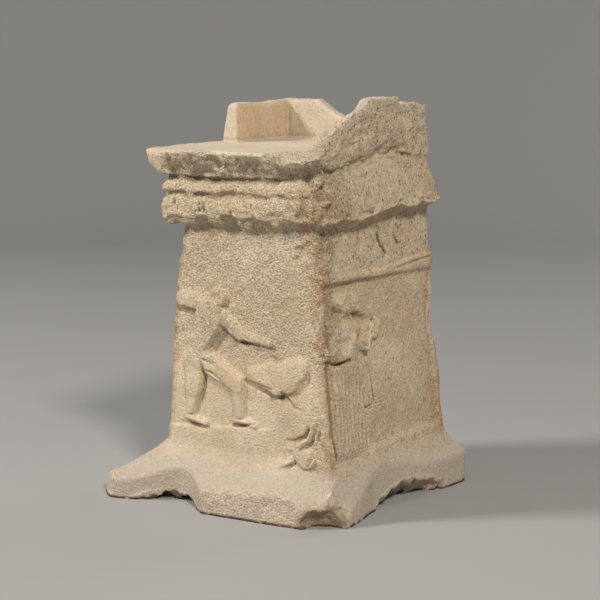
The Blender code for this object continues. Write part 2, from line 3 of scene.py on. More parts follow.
import bmesh
import bpy
import numpy as np
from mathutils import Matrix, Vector


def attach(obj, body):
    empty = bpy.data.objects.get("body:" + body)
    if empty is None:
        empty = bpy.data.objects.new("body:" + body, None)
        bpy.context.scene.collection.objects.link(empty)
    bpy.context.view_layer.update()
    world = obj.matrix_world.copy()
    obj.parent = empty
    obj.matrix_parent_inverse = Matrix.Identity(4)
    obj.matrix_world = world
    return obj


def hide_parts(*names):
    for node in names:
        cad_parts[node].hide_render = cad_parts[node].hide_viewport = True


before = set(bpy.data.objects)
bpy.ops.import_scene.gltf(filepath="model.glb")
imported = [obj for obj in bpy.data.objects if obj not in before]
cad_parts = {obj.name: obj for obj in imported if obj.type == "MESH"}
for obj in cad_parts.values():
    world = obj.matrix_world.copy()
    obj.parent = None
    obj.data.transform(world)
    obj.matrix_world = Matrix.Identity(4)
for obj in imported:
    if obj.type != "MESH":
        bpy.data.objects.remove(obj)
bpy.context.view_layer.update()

# Plinth, measured out from the axis of the shaft
PLINTH_FRONT = 0.113
PLINTH_LEFT = 0.112
PLINTH_RIGHT = 0.089
PLINTH_BACK = 0.090
RIM_HEIGHT = 0.0145
RIM_RISE = 0.009
FLARE_HEIGHT = 0.021
PLINTH_CORNER = 0.012
FRONT_LOSS = 0.024
FRONT_LOSS_X = -0.046
FRONT_LOSS_WIDTH = 0.030
RIGHT_LOSS = 0.011
RIGHT_LOSS_Y = -0.012
RIGHT_LOSS_WIDTH = 0.042
CORNER_WEAR = 0.016
CORNER_WEAR_PLACE = (0.082, -0.088)
CORNER_WEAR_WIDTHS = (0.024, 0.022)
PLINTH_EDGE = 0.0025

# Shaft
SHAFT_HEIGHT = 0.164
FOOT_WIDTH = 0.152
FOOT_DEPTH = 0.149
NECK_WIDTH = 0.127
NECK_DEPTH = 0.1415
SHAFT_SWELL = 0.0025
ARRIS_WEAR = 0.012

# Cornice over the front and left faces
BAND_HEIGHT = 0.025
BAND_PROJECTION = 0.0085
FILLET_HEIGHT = 0.0115
SLAB_HEIGHT = 0.018
SLAB_FRONT = 0.090
SLAB_LEFT = 0.086
SLAB_RIGHT = 0.078
TONGUE_PITCH = 0.0245
FIRST_TONGUE = 0.0055
SCALLOP_DEPTH = 0.0022
PAIR_DEPTH = 0.0017
TONGUE_TOP_DEPTH = 0.0022

# Worn cornice over the right and back faces
RIDGE_PROJECTION = 0.0105
RIDGE_HEIGHT = 0.0075
RIDGE_CLIMB = 0.008
CREASE_DEPTH = 0.0050

# Tray and the walls left round it
WALL_THICKNESS = 0.016
RIGHT_WALL_EXTRA = 0.003
TRAY_WIDTH = 0.102
TRAY_SHIFT = -0.005
TRAY_BACK = 0.051
TRAY_SLOPE = 0.005
LEFT_WALL_HEIGHT = 0.031
RIGHT_WALL_HEIGHT = 0.037
LEFT_WALL_LENGTH = 0.062
RIGHT_WALL_LENGTH = 0.139

# Relief on the two carved faces
HUNTER_HEIGHT = 0.100
HUNTER_RELIEF = 0.0040
DRAPED_HEIGHT = 0.110
DRAPED_RELIEF = 0.0052
GROOVE_DEPTH = 0.0020
LEDGE_SHARE = 0.35
LIP_INSET = 0.0065
LIP_WIDTH = 0.0011
LIP_DEPTH = 0.0012
PANEL_RECESS = 0.0036
FRAME_STRIP = 0.007
MOULDING_DROP = 0.034
MOULDING_HEIGHT = 0.0020
SPLIT_DEPTH = 0.0016
TOP_LINE_DEPTH = 0.0012
TOOL_CUT_DEPTH = 0.0045
TOOL_CUT_WIDTH = 0.0015

# Folds of the draped figure's dress, their pitch in hundredths of the figure's height
FOLD_PITCH = 3.9
FOLD_FALL = 0.72
FOLD_DEPTH = 0.0012
CLOTH_HEM = 27.0

# Fillets where the main forms meet, and how round a break's edge is
FOOT_FILLET = 0.006
NECK_FILLET = 0.003
SLAB_FILLET = 0.002
BREAK_EDGE = 0.0015

# How rough the surface is, and how finely it is modelled
WAVINESS = 0.0007
BREAK_ROUGHNESS = 0.0020
FINE_PITCH = 0.0009
FIRST_SHARE = 1.6
CARVE_ROUNDS = 4
FIRST_STEP = 0.0015
FINE_STEP = 0.0010
LEAST_STEEPNESS = 0.45
PROBE = 0.0003
TRIANGLES = 194000
UNDERCUT = 0.003
NOISE_CELLS = 32

# How far from the surface hollows, narrow cuts and edges are felt for
HOLLOW_REACH = 0.004
CUT_REACH = 0.0018
EDGE_REACH = 0.005

# Finishes
STONE_WARM = (0.60, 0.480, 0.335)
STONE_PALE = (0.70, 0.580, 0.420)
STONE_OCHRE = (0.55, 0.410, 0.255)
STONE_DARK = (0.30, 0.225, 0.145)
# Pale grain, and the painted highlight laid with rubbing on sharp edges
STONE_PALE_AND_HIGHLIGHT = (0.90, 0.79, 0.62)
STONE_FRESH = (0.76, 0.63, 0.475)
STONE_RUST = (0.47, 0.295, 0.145)
# Soil colour, also used for the painted shade in hollows, cuts, folds and the corner scoop
STONE_SOIL_AND_SHADE = (0.25, 0.18, 0.105)
STONE_PIT = (0.10, 0.070, 0.045)
STONE_BROWN = (0.58, 0.415, 0.235)
STONE_CRUST = (0.085, 0.035, 0.022)
STONE_GREY = (0.62, 0.54, 0.455)
# Painted shade, darker and greyer on the plinth and towards the foot of the shaft
STONE_LOW_SHADE = (0.46, 0.395, 0.335)
CRUST_TOP = 0.0030
CRUST_FULL = 0.0008
STONE_SPECULAR = 0.25
STONE_ROUGHNESS = 0.93
BUMP_DEPTH = 0.0030

# Studio: each light's name, place, power, width and tint, then the sky, floor and camera, with
# the camera's angles in degrees and its lens and sensor in millimetres
LIT_POINT = (0.0, 0.0, 0.13)
LIGHTS = (
    ("key", (-1.42, -1.42, 1.58), 44.0, 0.40, (1.0, 0.965, 0.91)),
    ("side", (1.46, -1.08, 1.66), 39.0, 0.35, (1.0, 0.935, 0.83)),
    ("top", (-0.30, -0.10, 2.10), 2.0, 0.70, (1.0, 0.98, 0.95)),
    ("back", (0.50, 2.20, 1.20), 9.0, 0.80, (1.0, 0.98, 0.95)),
)
SKY_COLOUR = (0.95, 0.97, 1.0, 1.0)
SKY_STRENGTH = 0.05
FLOOR_COLOUR = (0.36, 0.36, 0.365, 1.0)
FLOOR_ROUGHNESS = 0.9
FLOOR_FLAT = 0.8
FLOOR_TURN = 1.7
FLOOR_BEND = 0.9
FLOOR_HEIGHT = 2.4
CAMERA_PLACE = (0.6519, -0.8860, 0.3042)
CAMERA_TILT = 81.587
CAMERA_TURN = 36.617
CAMERA_LENS = 90.0
CAMERA_SENSOR = 36.0

# Levels, worked out from the heights above
FOOT_Z = RIM_HEIGHT + FLARE_HEIGHT
NECK_Z = FOOT_Z + SHAFT_HEIGHT
BAND_Z = NECK_Z + BAND_HEIGHT
FILLET_Z = BAND_Z + FILLET_HEIGHT
SLAB_Z = FILLET_Z + SLAB_HEIGHT
TRAY_LEFT_X = TRAY_SHIFT - TRAY_WIDTH / 2
TRAY_RIGHT_X = TRAY_SHIFT + TRAY_WIDTH / 2
WALL_RIGHT_X = TRAY_RIGHT_X + WALL_THICKNESS + RIGHT_WALL_EXTRA
WALL_BACK_Y = TRAY_BACK + WALL_THICKNESS
WALL_LEFT_X = TRAY_LEFT_X - WALL_THICKNESS

# Broken tops of the back and right walls: how far below its full height each stands, along it
BACK_WALL_PLACES = (0.028, 0.042, 0.056, 0.070, 0.086)
BACK_WALL_FALL = (0.0, 0.009, 0.016, 0.021, 0.019)
RIGHT_TOP_PLACES = (0.055, 0.094, 0.097, 0.113, 0.120, 0.128)
RIGHT_TOP_FALL = (0.0015, 0.0, 0.006, 0.0035, 0.004, 0.007)


def smooth_min(a, b, radius):
    """Union of two distances with a fillet of about the given radius."""
    share = np.clip(0.5 + 0.5 * (b - a) / radius, 0.0, 1.0)
    return b + (a - b) * share - radius * share * (1.0 - share)


def smooth_max(a, b, radius):
    """Intersection of two distances with a rounded edge."""
    return -smooth_min(-a, -b, radius)


def smooth_step(low, high, value):
    """0 below low, 1 above high, and an S curve between them."""
    share = np.clip((value - low) / (high - low), 0.0, 1.0)
    return share * share * (3.0 - 2.0 * share)


def mound(value, middle, width):
    """1 where the value is at the middle, falling off smoothly to 0 on both sides."""
    return np.exp(-(((value - middle) / width) ** 2))


def lattice_noise(points, cell, seed):
    """Smooth noise between -1 and 1 whose lumps are about one cell across."""
    table = np.random.default_rng(seed).uniform(-1.0, 1.0, NOISE_CELLS**3)
    scaled = points / cell
    base = np.floor(scaled)
    part = scaled - base
    u, v, w = (part * part * (3.0 - 2.0 * part)).T
    low = base.astype(np.int32) & (NOISE_CELLS - 1)
    high = (low + 1) & (NOISE_CELLS - 1)
    planes = (low[:, 0] * NOISE_CELLS**2, high[:, 0] * NOISE_CELLS**2)
    rows = (low[:, 1] * NOISE_CELLS, high[:, 1] * NOISE_CELLS)
    sides = []
    for plane in planes:
        ends = []
        for row in rows:
            start = table[plane + row + low[:, 2]]
            ends.append(start + (table[plane + row + high[:, 2]] - start) * w)
        sides.append(ends[0] + (ends[1] - ends[0]) * v)
    return sides[0] + (sides[1] - sides[0]) * u


def crags(points, cell, seed):
    """Noise with sharp creases, as on broken stone, 0 to 1."""
    return 1.0 - np.abs(lattice_noise(points, cell, seed)) * 1.6


def break_distance(x, y, z, point, facing):
    """Distance out from a straight break."""
    length = math.sqrt(sum(part * part for part in facing))
    gaps = (x - point[0], y - point[1], z - point[2])
    return sum(gap * part for gap, part in zip(gaps, facing)) / length


def segment_distance(u, v, start, end):
    """Distance from points (u, v) to a segment, and how far along it they lie, 0 to 1."""
    du = end[0] - start[0]
    dv = end[1] - start[1]
    along = ((u - start[0]) * du + (v - start[1]) * dv) / (du * du + dv * dv + 1e-12)
    along = np.clip(along, 0.0, 1.0)
    return np.hypot(u - start[0] - du * along, v - start[1] - dv * along), along


def limb(u, v, start, end, start_radius, end_radius):
    """A raised limb, 1 on its back, that swells softly at the upper left and is cut crisp below."""
    gap, along = segment_distance(u, v, start, end)
    radius = start_radius + (end_radius - start_radius) * along
    across_u = u - start[0] - (end[0] - start[0]) * along
    across_v = v - start[1] - (end[1] - start[1]) * along
    side = (across_u - across_v) / (1.41 * gap + 0.5)
    edge = 3.2 - 1.7 * side
    inside = np.clip((radius - gap + 0.3 * edge) / (1.3 * edge), 0.0, 1.0)
    return np.sin(0.5 * math.pi * inside) ** 1.5


def groove(u, v, route, width):
    """A cut along a route of points, each given with how deep the cut is there; 0 away from it."""
    deepest = np.zeros_like(u)
    for start, end in zip(route, route[1:]):
        gap, along = segment_distance(u, v, start, end)
        depth = start[2] + (end[2] - start[2]) * along
        deepest = np.maximum(deepest, depth * mound(gap, 0.0, width))
    return deepest


def blended_limbs(u, v, limbs, power=6):
    """All the limbs of a figure, run together without creases."""
    total = np.zeros_like(u)
    for start, end, start_radius, end_radius, rise in limbs:
        total += (rise * limb(u, v, start, end, start_radius, end_radius)) ** power
    return total ** (1.0 / power)


def deepest_groove(u, v, routes):
    """The deepest of a figure's cuts at each point."""
    return np.maximum.reduce([groove(u, v, route, width) for route, width in routes])


# The hunter and his game: ends, radii and rise of each limb. Places are hundredths of the
# hunter's height, from his standing foot. Each groove is a route of points, with its depth at
# each of them, and a width.
HUNTER_LIMBS = (
    ((28, 94), (27, 95), 7.5, 7.0, 0.8),
    ((26, 88), (20, 84), 4.5, 6.0, 0.8),
    ((19, 80), (11, 62), 14.0, 9.5, 1.1),
    ((11, 62), (9, 51), 9.5, 10.5, 1.0),
    ((14, 88), (-6, 90), 6.5, 5.5, 0.9),
    ((-6, 90), (-17, 90), 5.5, 4.5, 0.8),
    ((31, 80), (47, 69), 6.5, 5.0, 0.9),
    ((47, 69), (73, 65), 4.8, 3.2, 0.7),
    ((6, 46), (5, 26), 10.5, 7.5, 1.0),
    ((5, 26), (2, 10), 7.5, 4.5, 0.9),
    ((-1, 5), (16, 1.5), 3.4, 2.8, 0.8),
    ((15, 48), (46, 33), 9.5, 7.0, 1.0),
    ((46, 33), (47, 12), 7.0, 4.2, 0.9),
    ((45, 7.5), (62, 5.5), 3.2, 2.4, 0.8),
    ((58, 42), (88, 44), 5.0, 13.0, 0.7),
    ((86, 42), (97, 49), 10.0, 9.0, 0.8),
    ((80, 32), (82, 33), 4.2, 4.2, 1.0),
    ((93, -7), (99, -3), 2.2, 2.6, 0.6),
    ((99, -3), (108, 2), 2.6, 2.2, 0.6),
    ((108, 2), (111, 13), 2.2, 1.6, 0.6),
    ((114, 9), (113.5, 1), 1.4, 1.6, 0.5),
    ((102, -9), (107, -12), 7.0, 7.5, 0.7),
    ((84, -19), (94, -15), 3.0, 3.0, 0.7),
)
HUNTER_GROOVES = (
    (((-16, 85, 0.3), (-10, 82, 1.0), (4, 79.5, 0.5)), 1.2),
    (((20, 93, 0.0), (25, 94, 0.5), (33, 98, 0.3)), 2.6),
    (((35, 72, 0.7), (25, 60, 0.6), (17, 53, 0.5)), 3.0),
    (((33, 71, 0.8), (44, 64, 1.2), (58, 63.5, 0.9), (74, 62.5, 0.4)), 1.1),
    (((14, 48, 0.5), (14, 40, 1.4), (14, 27, 0.8), (6, 10, 0.3)), 1.2),
    (((-3, 46, 0.0), (-2, 36, 0.5), (-1, 12, 0.3)), 1.6),
    (((16, 48, 0.8), (24, 45, 0.4)), 1.0),
    (((16, 40, 0.7), (23, 39, 1.0), (39, 30, 0.2)), 1.0),
    (((52, 37, 0.9), (50, 14, 0.3), (49, 8, 0.1)), 1.2),
    (((52, 36, 0.6), (66, 31.5, 1.0), (76, 28.5, 1.7), (84, 28.5, 1.7), (86, 31, 0.7)), 1.3),
    (((86, 31, 0.5), (94.6, 22.6, 0.8), (102, 20.5, 0.2)), 1.0),
    (((74, 55, 0.6), (81, 53, 1.3), (88, 56.5, 0.5)), 1.5),
    (((88, 56.5, 0.2), (98, 60, 0.4), (106, 60, 0.1)), 1.4),
    (((102, 34, 0.2), (106, 44, 0.5), (106, 54, 0.2)), 1.8),
    (((90, -1.5, 0.8), (95, -1.5, 1.0), (104, 3, 1.8), (107.3, 9, 0.9)), 1.4),
    (((115, 14, 0.3), (113, 8, 0.7), (112, 2, 0.7), (109, -2, 0.7), (101.6, -6, 1.3)), 1.0),
    (((115.7, 10, 0.4), (116.3, 6.5, 0.9), (115.5, 2, 0.5)), 1.0),
    (((100, 0, 0.6), (96, -4.5, 1.0), (93.5, -8, 0.5)), 1.0),
    (((113, -4, 0.4), (113.5, -10, 0.6), (109.5, -17, 0.5)), 1.3),
    (((79, -25, 0.6), (87, -22, 1.0), (91, -20.5, 1.8), (96.5, -16.5, 0.9)), 1.2),
    (((0, 0.5, 0.5), (8, -1.8, 1.0), (19, -2, 0.6)), 1.0),
    (((41, 3, 0.8), (50, 4.5, 1.4), (62, 6.2, 0.8)), 1.0),
)
HUNTER_FOOT = (-FOOT_WIDTH / 2 + 0.024, FOOT_Z + 0.0205)
GROUND_LINE = ((-20, -5), (64, 3))


def hunter_relief(x, z):
    """Height of the carving on the front face above its ground."""
    scale = 100.0 / HUNTER_HEIGHT
    u = (x - HUNTER_FOOT[0]) * scale
    v = (z - HUNTER_FOOT[1]) * scale
    raised = blended_limbs(u, v, HUNTER_LIMBS)
    cut = deepest_groove(u, v, HUNTER_GROOVES)
    (start_u, start_v), (end_u, end_v) = GROUND_LINE
    ledge_gap = v - (start_v + (u - start_u) * (end_v - start_v) / (end_u - start_u))
    on_ledge = smooth_step(2.0, -0.5, ledge_gap) * smooth_step(80.0, 62.0, u)
    lip = mound(x + half_size(z, FOOT_WIDTH, NECK_WIDTH), LIP_INSET, LIP_WIDTH)
    lip = lip * smooth_step(0.120, 0.108, z) * smooth_step(0.044, 0.050, z)
    height = HUNTER_RELIEF * (raised + LEDGE_SHARE * on_ledge * (1 - raised)) - GROOVE_DEPTH * cut
    return height - LIP_DEPTH * lip


# The draped figure, given in the same way, from the middle of its hem.
DRAPED_LIMBS = (
    ((-4, 97), (-3, 99), 7.5, 7.0, 1.0),
    ((-5, 88), (-4, 92), 4.0, 4.0, 0.8),
    ((-13, 79), (8, 79), 7.0, 6.0, 0.9),
    ((-4, 76), (-4, 58), 14.0, 13.0, 0.8),
    ((-4, 58), (-1, 6), 14.5, 19.0, 0.8),
    ((-13, 82), (-18, 66), 5.0, 4.8, 1.2),
    ((-17, 64), (-5, 65), 4.8, 4.2, 1.4),
    ((-5, 65), (3, 76), 4.2, 3.2, 1.4),
    ((18, 66), (20, 73), 3.4, 3.4, 1.3),
    ((20, 73), (24, 80), 3.4, 3.0, 1.2),
    ((31, 72), (35, 80), 3.2, 2.8, 0.7),
    ((19, 55), (22, 30), 5.0, 5.5, 0.25),
    ((10, 95), (17, 91), 6.5, 5.5, 0.7),
    ((21, 88), (28, 85), 5.0, 4.5, 0.45),
)
DRAPED_GROOVES = (
    (((-12, 90, 0.6), (-5, 87, 0.8), (7, 84, 0.4)), 1.2),
    (((-23, 61, 0.5), (-12, 59.5, 1.2), (-1, 62, 0.7)), 1.1),
    (((15, 63, 0.3), (17, 67, 0.8)), 1.2),
    (((20, 57, 0.4), (25, 47, 0.8), (28.5, 28, 1.0)), 1.1),
    (((17, 25, 0.7), (28.5, 28, 0.9)), 1.1),
    (((-20, -2, 0.9), (0, -2, 0.9), (17, -1, 0.6)), 1.1),
    (((17, 26, 0.7), (20, 14, 0.5), (20, 0, 0.2)), 1.2),
    (((-21.5, 58, 1.0), (-21, 17, 1.3), (-18, -3, 0.9)), 1.0),
    (((-11, 93, 1.1), (-8, 86, 1.1)), 2.6),
    (((-4, 87, 0.9), (6, 86, 0.9)), 1.6),
    (((10, 88, 0.8), (13, 82, 0.8)), 1.8),
    (((8, 75, 0.5), (10, 68, 0.9), (13, 61, 0.5)), 3.4),
    (((24, 90, 0.6), (30, 80, 0.6)), 1.8),
    (((27, 80, 0.3), (25, 70, 0.7), (23, 64, 0.2)), 1.4),
    (((-15, 100, 0.7), (-14, 88, 0.8)), 2.2),
    (((-13, 103, 0.4), (0, 108, 0.5), (20, 109, 0.4), (38, 103, 0.2)), 2.4),
)
HEM_PLACE = (-FOOT_DEPTH / 2 + 0.0295, FOOT_Z + 0.0095)


def draped_place(y, z):
    """Where points of the right face lie on the draped figure."""
    scale = 100.0 / DRAPED_HEIGHT
    return (y - HEM_PLACE[0]) * scale, (z - HEM_PLACE[1]) * scale


def dress_folds(u, v):
    """Where the dress is, and its folds: each falls gently from 1 to 0 and rises steeply again."""
    dress = smooth_step(58.0, 50.0, v) * smooth_step(-1.0, 3.0, v) * smooth_step(-21.0, -18.0, u)
    right_edge = 17.0 + 6.0 * (v > CLOTH_HEM)
    dress = dress * smooth_step(right_edge + 3.0, right_edge, u)
    turn = np.mod(u / FOLD_PITCH + 0.006 * v, 1.0)
    falling = 1.0 - turn / FOLD_FALL
    rising = (turn - FOLD_FALL) / (1.0 - FOLD_FALL)
    return dress, np.where(turn < FOLD_FALL, falling, rising)


def draped_relief(y, z):
    """Height of the figure on the right face above its panel."""
    u, v = draped_place(y, z)
    raised = blended_limbs(u, v, DRAPED_LIMBS) * smooth_step(-5.0, 4.0, v)
    cut = deepest_groove(u, v, DRAPED_GROOVES)
    dress, folds = dress_folds(u, v)
    height = DRAPED_RELIEF * raised * (1.0 - 0.22 * dress) + FOLD_DEPTH * dress * folds
    return height - GROOVE_DEPTH * cut


def half_size(z, foot, neck):
    """Half the shaft's width or depth at a height."""
    share = np.clip((z - FOOT_Z) / SHAFT_HEIGHT, 0.0, 1.0)
    return foot / 2 + (neck - foot) / 2 * share


# Stray cuts above the moulding of the right face: places along it, heights and depths
TOOL_CUTS = (
    ((-0.0020, NECK_Z - 0.006, 0.8), (0.0070, NECK_Z - 0.020, 1.0)),
    ((-0.0010, NECK_Z - 0.007, 0.8), (0.0000, NECK_Z - 0.013, 0.5)),
    ((0.0185, NECK_Z - 0.006, 0.4), (0.0250, NECK_Z - 0.014, 0.8)),
)


def right_face_relief(y, z):
    """Frame strips, moulding, tool cuts and figure of the right face, from the face's own plane."""
    half = half_size(z, FOOT_DEPTH, NECK_DEPTH)
    near_strip = FRAME_STRIP * (1.0 - 0.5 * smooth_step(FOOT_Z, FOOT_Z + 0.075, z))
    inner = half - np.where(y < 0.0, near_strip, FRAME_STRIP)
    moulding_z = NECK_Z - MOULDING_DROP
    below = smooth_step(moulding_z + 0.001, moulding_z - 0.004, z)
    below = 0.40 * below + 0.60 * smooth_step(moulding_z, moulding_z - 0.030, z)
    above_floor = smooth_step(FOOT_Z + 0.008, FOOT_Z + 0.012, z - 0.001 * y / 0.03)
    panel = smooth_step(inner, inner - 0.0014, np.abs(y)) * below * above_floor
    rise = smooth_step(-0.010, 0.070, y)
    top_z = moulding_z + 0.0050 + 0.0065 * rise
    middle = 0.5 * (moulding_z + top_z)
    ridge = np.exp(-(((z - middle) / (0.6 * (top_z - moulding_z))) ** 4))
    split_z = moulding_z + 0.0015 + 0.0060 * rise
    split = mound(z, split_z, 0.0009) * smooth_step(0.005, 0.030, y)
    upper = mound(z - top_z, 0.0005, 0.0012) * (0.4 + 0.6 * rise)
    figure = draped_relief(y, z) * smooth_step(inner + 0.001, inner - 0.001, -y)
    height = -PANEL_RECESS * panel + MOULDING_HEIGHT * ridge
    height = height - SPLIT_DEPTH * split - TOP_LINE_DEPTH * upper + figure
    for route in TOOL_CUTS:
        height = height - TOOL_CUT_DEPTH * groove(y, z, route, TOOL_CUT_WIDTH)
    return height


def plain_face_relief(across, z, half):
    """A recessed panel inside a raised border, for the two faces that carry no figures."""
    inner = half - FRAME_STRIP
    top = NECK_Z - 0.030
    panel = smooth_step(inner, inner - 0.003, np.abs(across))
    panel = panel * smooth_step(top, top - 0.003, z) * smooth_step(FOOT_Z + 0.008, FOOT_Z + 0.011, z)
    ridge = np.exp(-(((z - top - 0.0045) / 0.0035) ** 4))
    return -PANEL_RECESS * panel + 0.0012 * ridge


def carved_height(near_face, relief, across, z):
    """Height of a face's relief, worked out only for the points near that face."""
    height = np.zeros(len(z))
    height[near_face] = relief(across[near_face], z[near_face])
    return height


def shaft(x, y, z, relief):
    """The tapering shaft with its four carved or panelled faces."""
    half_x = half_size(z, FOOT_WIDTH, NECK_WIDTH)
    half_y = half_size(z, FOOT_DEPTH, NECK_DEPTH)
    share = np.clip((z - FOOT_Z) / SHAFT_HEIGHT, 0.0, 1.0)
    swell = SHAFT_SWELL * np.sin(math.pi * share)
    on_shaft = smooth_step(FOOT_Z - 0.004, FOOT_Z, z)
    on_shaft = on_shaft * smooth_step(NECK_Z + 0.002, NECK_Z - 0.002, z) * relief
    front = -y - half_y - on_shaft * carved_height(y < -half_y + 0.012, hunter_relief, x, z)
    right = x - half_x - on_shaft * carved_height(x > half_x - 0.012, right_face_relief, y, z)
    worn_back = 0.0035 * smooth_step(0.55, 0.25, share) - 0.004 * mound(share, 0.55, 0.10)
    worn_back = worn_back * smooth_step(half_x - 0.030, half_x, x)
    back = y - half_y - on_shaft * (plain_face_relief(x, z, half_x) + worn_back)
    left = -x - half_x - swell - on_shaft * plain_face_relief(y, z, half_y)
    sides = smooth_max(
        smooth_max(front, back, 0.001), smooth_max(right, left, 0.001), ARRIS_WEAR
    )
    return np.maximum(sides, z - BAND_Z)


def plinth(x, y, z):
    """The low plinth, whose top climbs in a hollow curve to the foot of the shaft."""
    front_loss = FRONT_LOSS * mound(x, FRONT_LOSS_X, FRONT_LOSS_WIDTH)
    right_loss = RIGHT_LOSS * mound(y, RIGHT_LOSS_Y, RIGHT_LOSS_WIDTH)
    outline = smooth_max(
        np.maximum(x - PLINTH_RIGHT + right_loss, -x - PLINTH_LEFT),
        np.maximum(y - PLINTH_BACK, -y - PLINTH_FRONT + front_loss),
        PLINTH_CORNER,
    )
    half_x = FOOT_WIDTH / 2
    half_y = FOOT_DEPTH / 2
    spread = np.maximum(
        np.maximum((x - half_x) / (PLINTH_RIGHT - half_x), (-x - half_x) / (PLINTH_LEFT - half_x)),
        np.maximum((y - half_y) / (PLINTH_BACK - half_y), (-y - half_y) / (PLINTH_FRONT - half_y)),
    )
    rim = RIM_HEIGHT + RIM_RISE * smooth_step(0.0, 0.16, x + y)
    climb = FOOT_Z + 0.002 - rim
    top = rim + climb * np.clip(1.0 - spread, 0.0, 1.0) ** 1.5
    along_x = (x - CORNER_WEAR_PLACE[0]) / CORNER_WEAR_WIDTHS[0]
    along_y = (y - CORNER_WEAR_PLACE[1]) / CORNER_WEAR_WIDTHS[1]
    top = top - CORNER_WEAR * np.exp(-(along_x**2 + along_y**2))
    return smooth_max(outline, z - np.maximum(top, RIM_HEIGHT - 0.002), PLINTH_EDGE)


def tongue_band(x, z):
    """How far the row of tongues stands out: shallow paired cuts between rounded tops."""
    place = (x + NECK_WIDTH / 2 - FIRST_TONGUE) / TONGUE_PITCH
    offset = (place - np.round(place)) * TONGUE_PITCH
    share = (z - NECK_Z) / BAND_HEIGHT
    pair = mound(np.abs(offset), 0.0019, 0.0010)
    arc = 0.94 - 0.13 * (offset / (TONGUE_PITCH / 2)) ** 2
    crisp = 0.35 + 0.65 * smooth_step(0.010, -0.020, x)
    dip = smooth_step(arc - 0.04, arc + 0.04, share)
    cut = mound(share, arc, 0.055)
    upright = smooth_step(0.30, 0.55, share) * smooth_step(arc + 0.02, arc - 0.02, share)
    return crisp * (-PAIR_DEPTH * pair * upright - 0.0010 * dip - TONGUE_TOP_DEPTH * cut)


def profile(z, points):
    """Reach of a moulding at a height, from a short list of (height, reach)."""
    heights, reaches = zip(*points)
    return np.interp(z, heights, reaches)


def shadow_line(y):
    """Height of the line where the worn slope of the cornice meets the wall above it."""
    return FILLET_Z + 0.0025 + 0.011 * smooth_step(-0.075, 0.030, y)


def cornice(x, y, z, ragged, lumpy, relief):
    """Tongue band and fillet in front and on the left, one worn slope right and behind."""
    steps = (
        (NECK_Z - 0.004, -0.005),
        (NECK_Z, BAND_PROJECTION * 0.15),
        (NECK_Z + 0.004, BAND_PROJECTION * 0.75),
        (NECK_Z + 0.008, BAND_PROJECTION * 1.18),
        (NECK_Z + 0.013, BAND_PROJECTION * 1.24),
        (NECK_Z + 0.020, BAND_PROJECTION * 1.12),
        (BAND_Z - 0.001, BAND_PROJECTION * 0.92),
        (BAND_Z + 0.0015, BAND_PROJECTION * 1.14),
        (BAND_Z + 0.005, BAND_PROJECTION * 1.10),
        (FILLET_Z, BAND_PROJECTION * 0.55),
    )
    low_part = smooth_step(NECK_Z + 0.019, NECK_Z + 0.009, z)
    corner = 1.5 * smooth_step(0.030, 0.055, x) * smooth_step(FILLET_Z + 0.004, BAND_Z, z)
    scallop = np.cos(math.pi * (x + NECK_WIDTH / 2 - FIRST_TONGUE) / TONGUE_PITCH) ** 2
    lifted = (0.6 + 0.7 * low_part) * ragged
    carved = profile(z + lifted - SCALLOP_DEPTH * scallop * low_part, steps)
    carved = carved + lumpy * np.maximum(0.12 + 0.70 * low_part, corner)
    ridge_z = NECK_Z + RIDGE_HEIGHT + RIDGE_CLIMB * smooth_step(-0.09, 0.06, y)
    ridge_z = ridge_z + ragged + 0.7 * lumpy
    climb = np.clip((z - ridge_z) / (shadow_line(y) - ridge_z), 0.0, 1.0)
    below = 1.0 - np.clip((ridge_z - z) / 0.006, 0.0, 1.5)
    worn = RIDGE_PROJECTION * np.where(z < ridge_z, below, 1.0 - climb)
    worn = worn + 0.8 * lumpy * smooth_step(0.018, 0.0, np.abs(z - ridge_z))
    front = -y - NECK_DEPTH / 2 - carved - relief * tongue_band(x, z)
    left = -x - NECK_WIDTH / 2 - carved
    right = x - NECK_WIDTH / 2 - worn
    back = y - NECK_DEPTH / 2 - worn * 0.6
    near = smooth_max(front, left, 0.005)
    far = smooth_max(right, back, 0.020)
    sides = smooth_max(near, far, 0.018)
    return np.maximum(sides, np.maximum(z - FILLET_Z - 0.014, NECK_Z - 0.010 - z))


def floor_level(y):
    """Height of the tray's floor, which climbs a little towards the back."""
    return SLAB_Z + TRAY_SLOPE * (y + SLAB_FRONT) / (SLAB_FRONT + TRAY_BACK)


def slab(x, y, z, rough):
    """The projecting top slab, broken rough in front and on the left and lost on the other sides."""
    undercut = 0.007 * smooth_step(FILLET_Z + 0.010, FILLET_Z, z)
    fallen = 0.0105 * smooth_step(-0.003, 0.017, SLAB_Z - z) * smooth_step(-0.074, -0.060, x)
    fallen = fallen + 0.009 * smooth_step(0.246, 0.238, z) * smooth_step(0.030, 0.038, x)
    front = -y - SLAB_FRONT + np.maximum(undercut, fallen)
    front = front + 1.7 * rough * smooth_step(-0.080, -0.066, x)
    left = -x - SLAB_LEFT + 1.8 * undercut + 0.3 * rough
    end = 0.84 * (x - SLAB_RIGHT) + 0.54 * (y + SLAB_FRONT) + 0.5 * rough
    right = np.maximum(x - SLAB_RIGHT, np.minimum(x - WALL_RIGHT_X, end))
    back = y - WALL_BACK_Y
    facet = break_distance(x, y, z, (-SLAB_LEFT + 0.028, -SLAB_FRONT, SLAB_Z), (-0.30, -0.93, -0.20))
    sides = smooth_max(smooth_max(front, left, 0.004), smooth_max(right, back, 0.012), 0.003)
    sides = smooth_max(sides, facet, 0.002)
    ends = np.maximum(z - floor_level(y), FILLET_Z - z)
    return smooth_max(sides, ends, 0.002)


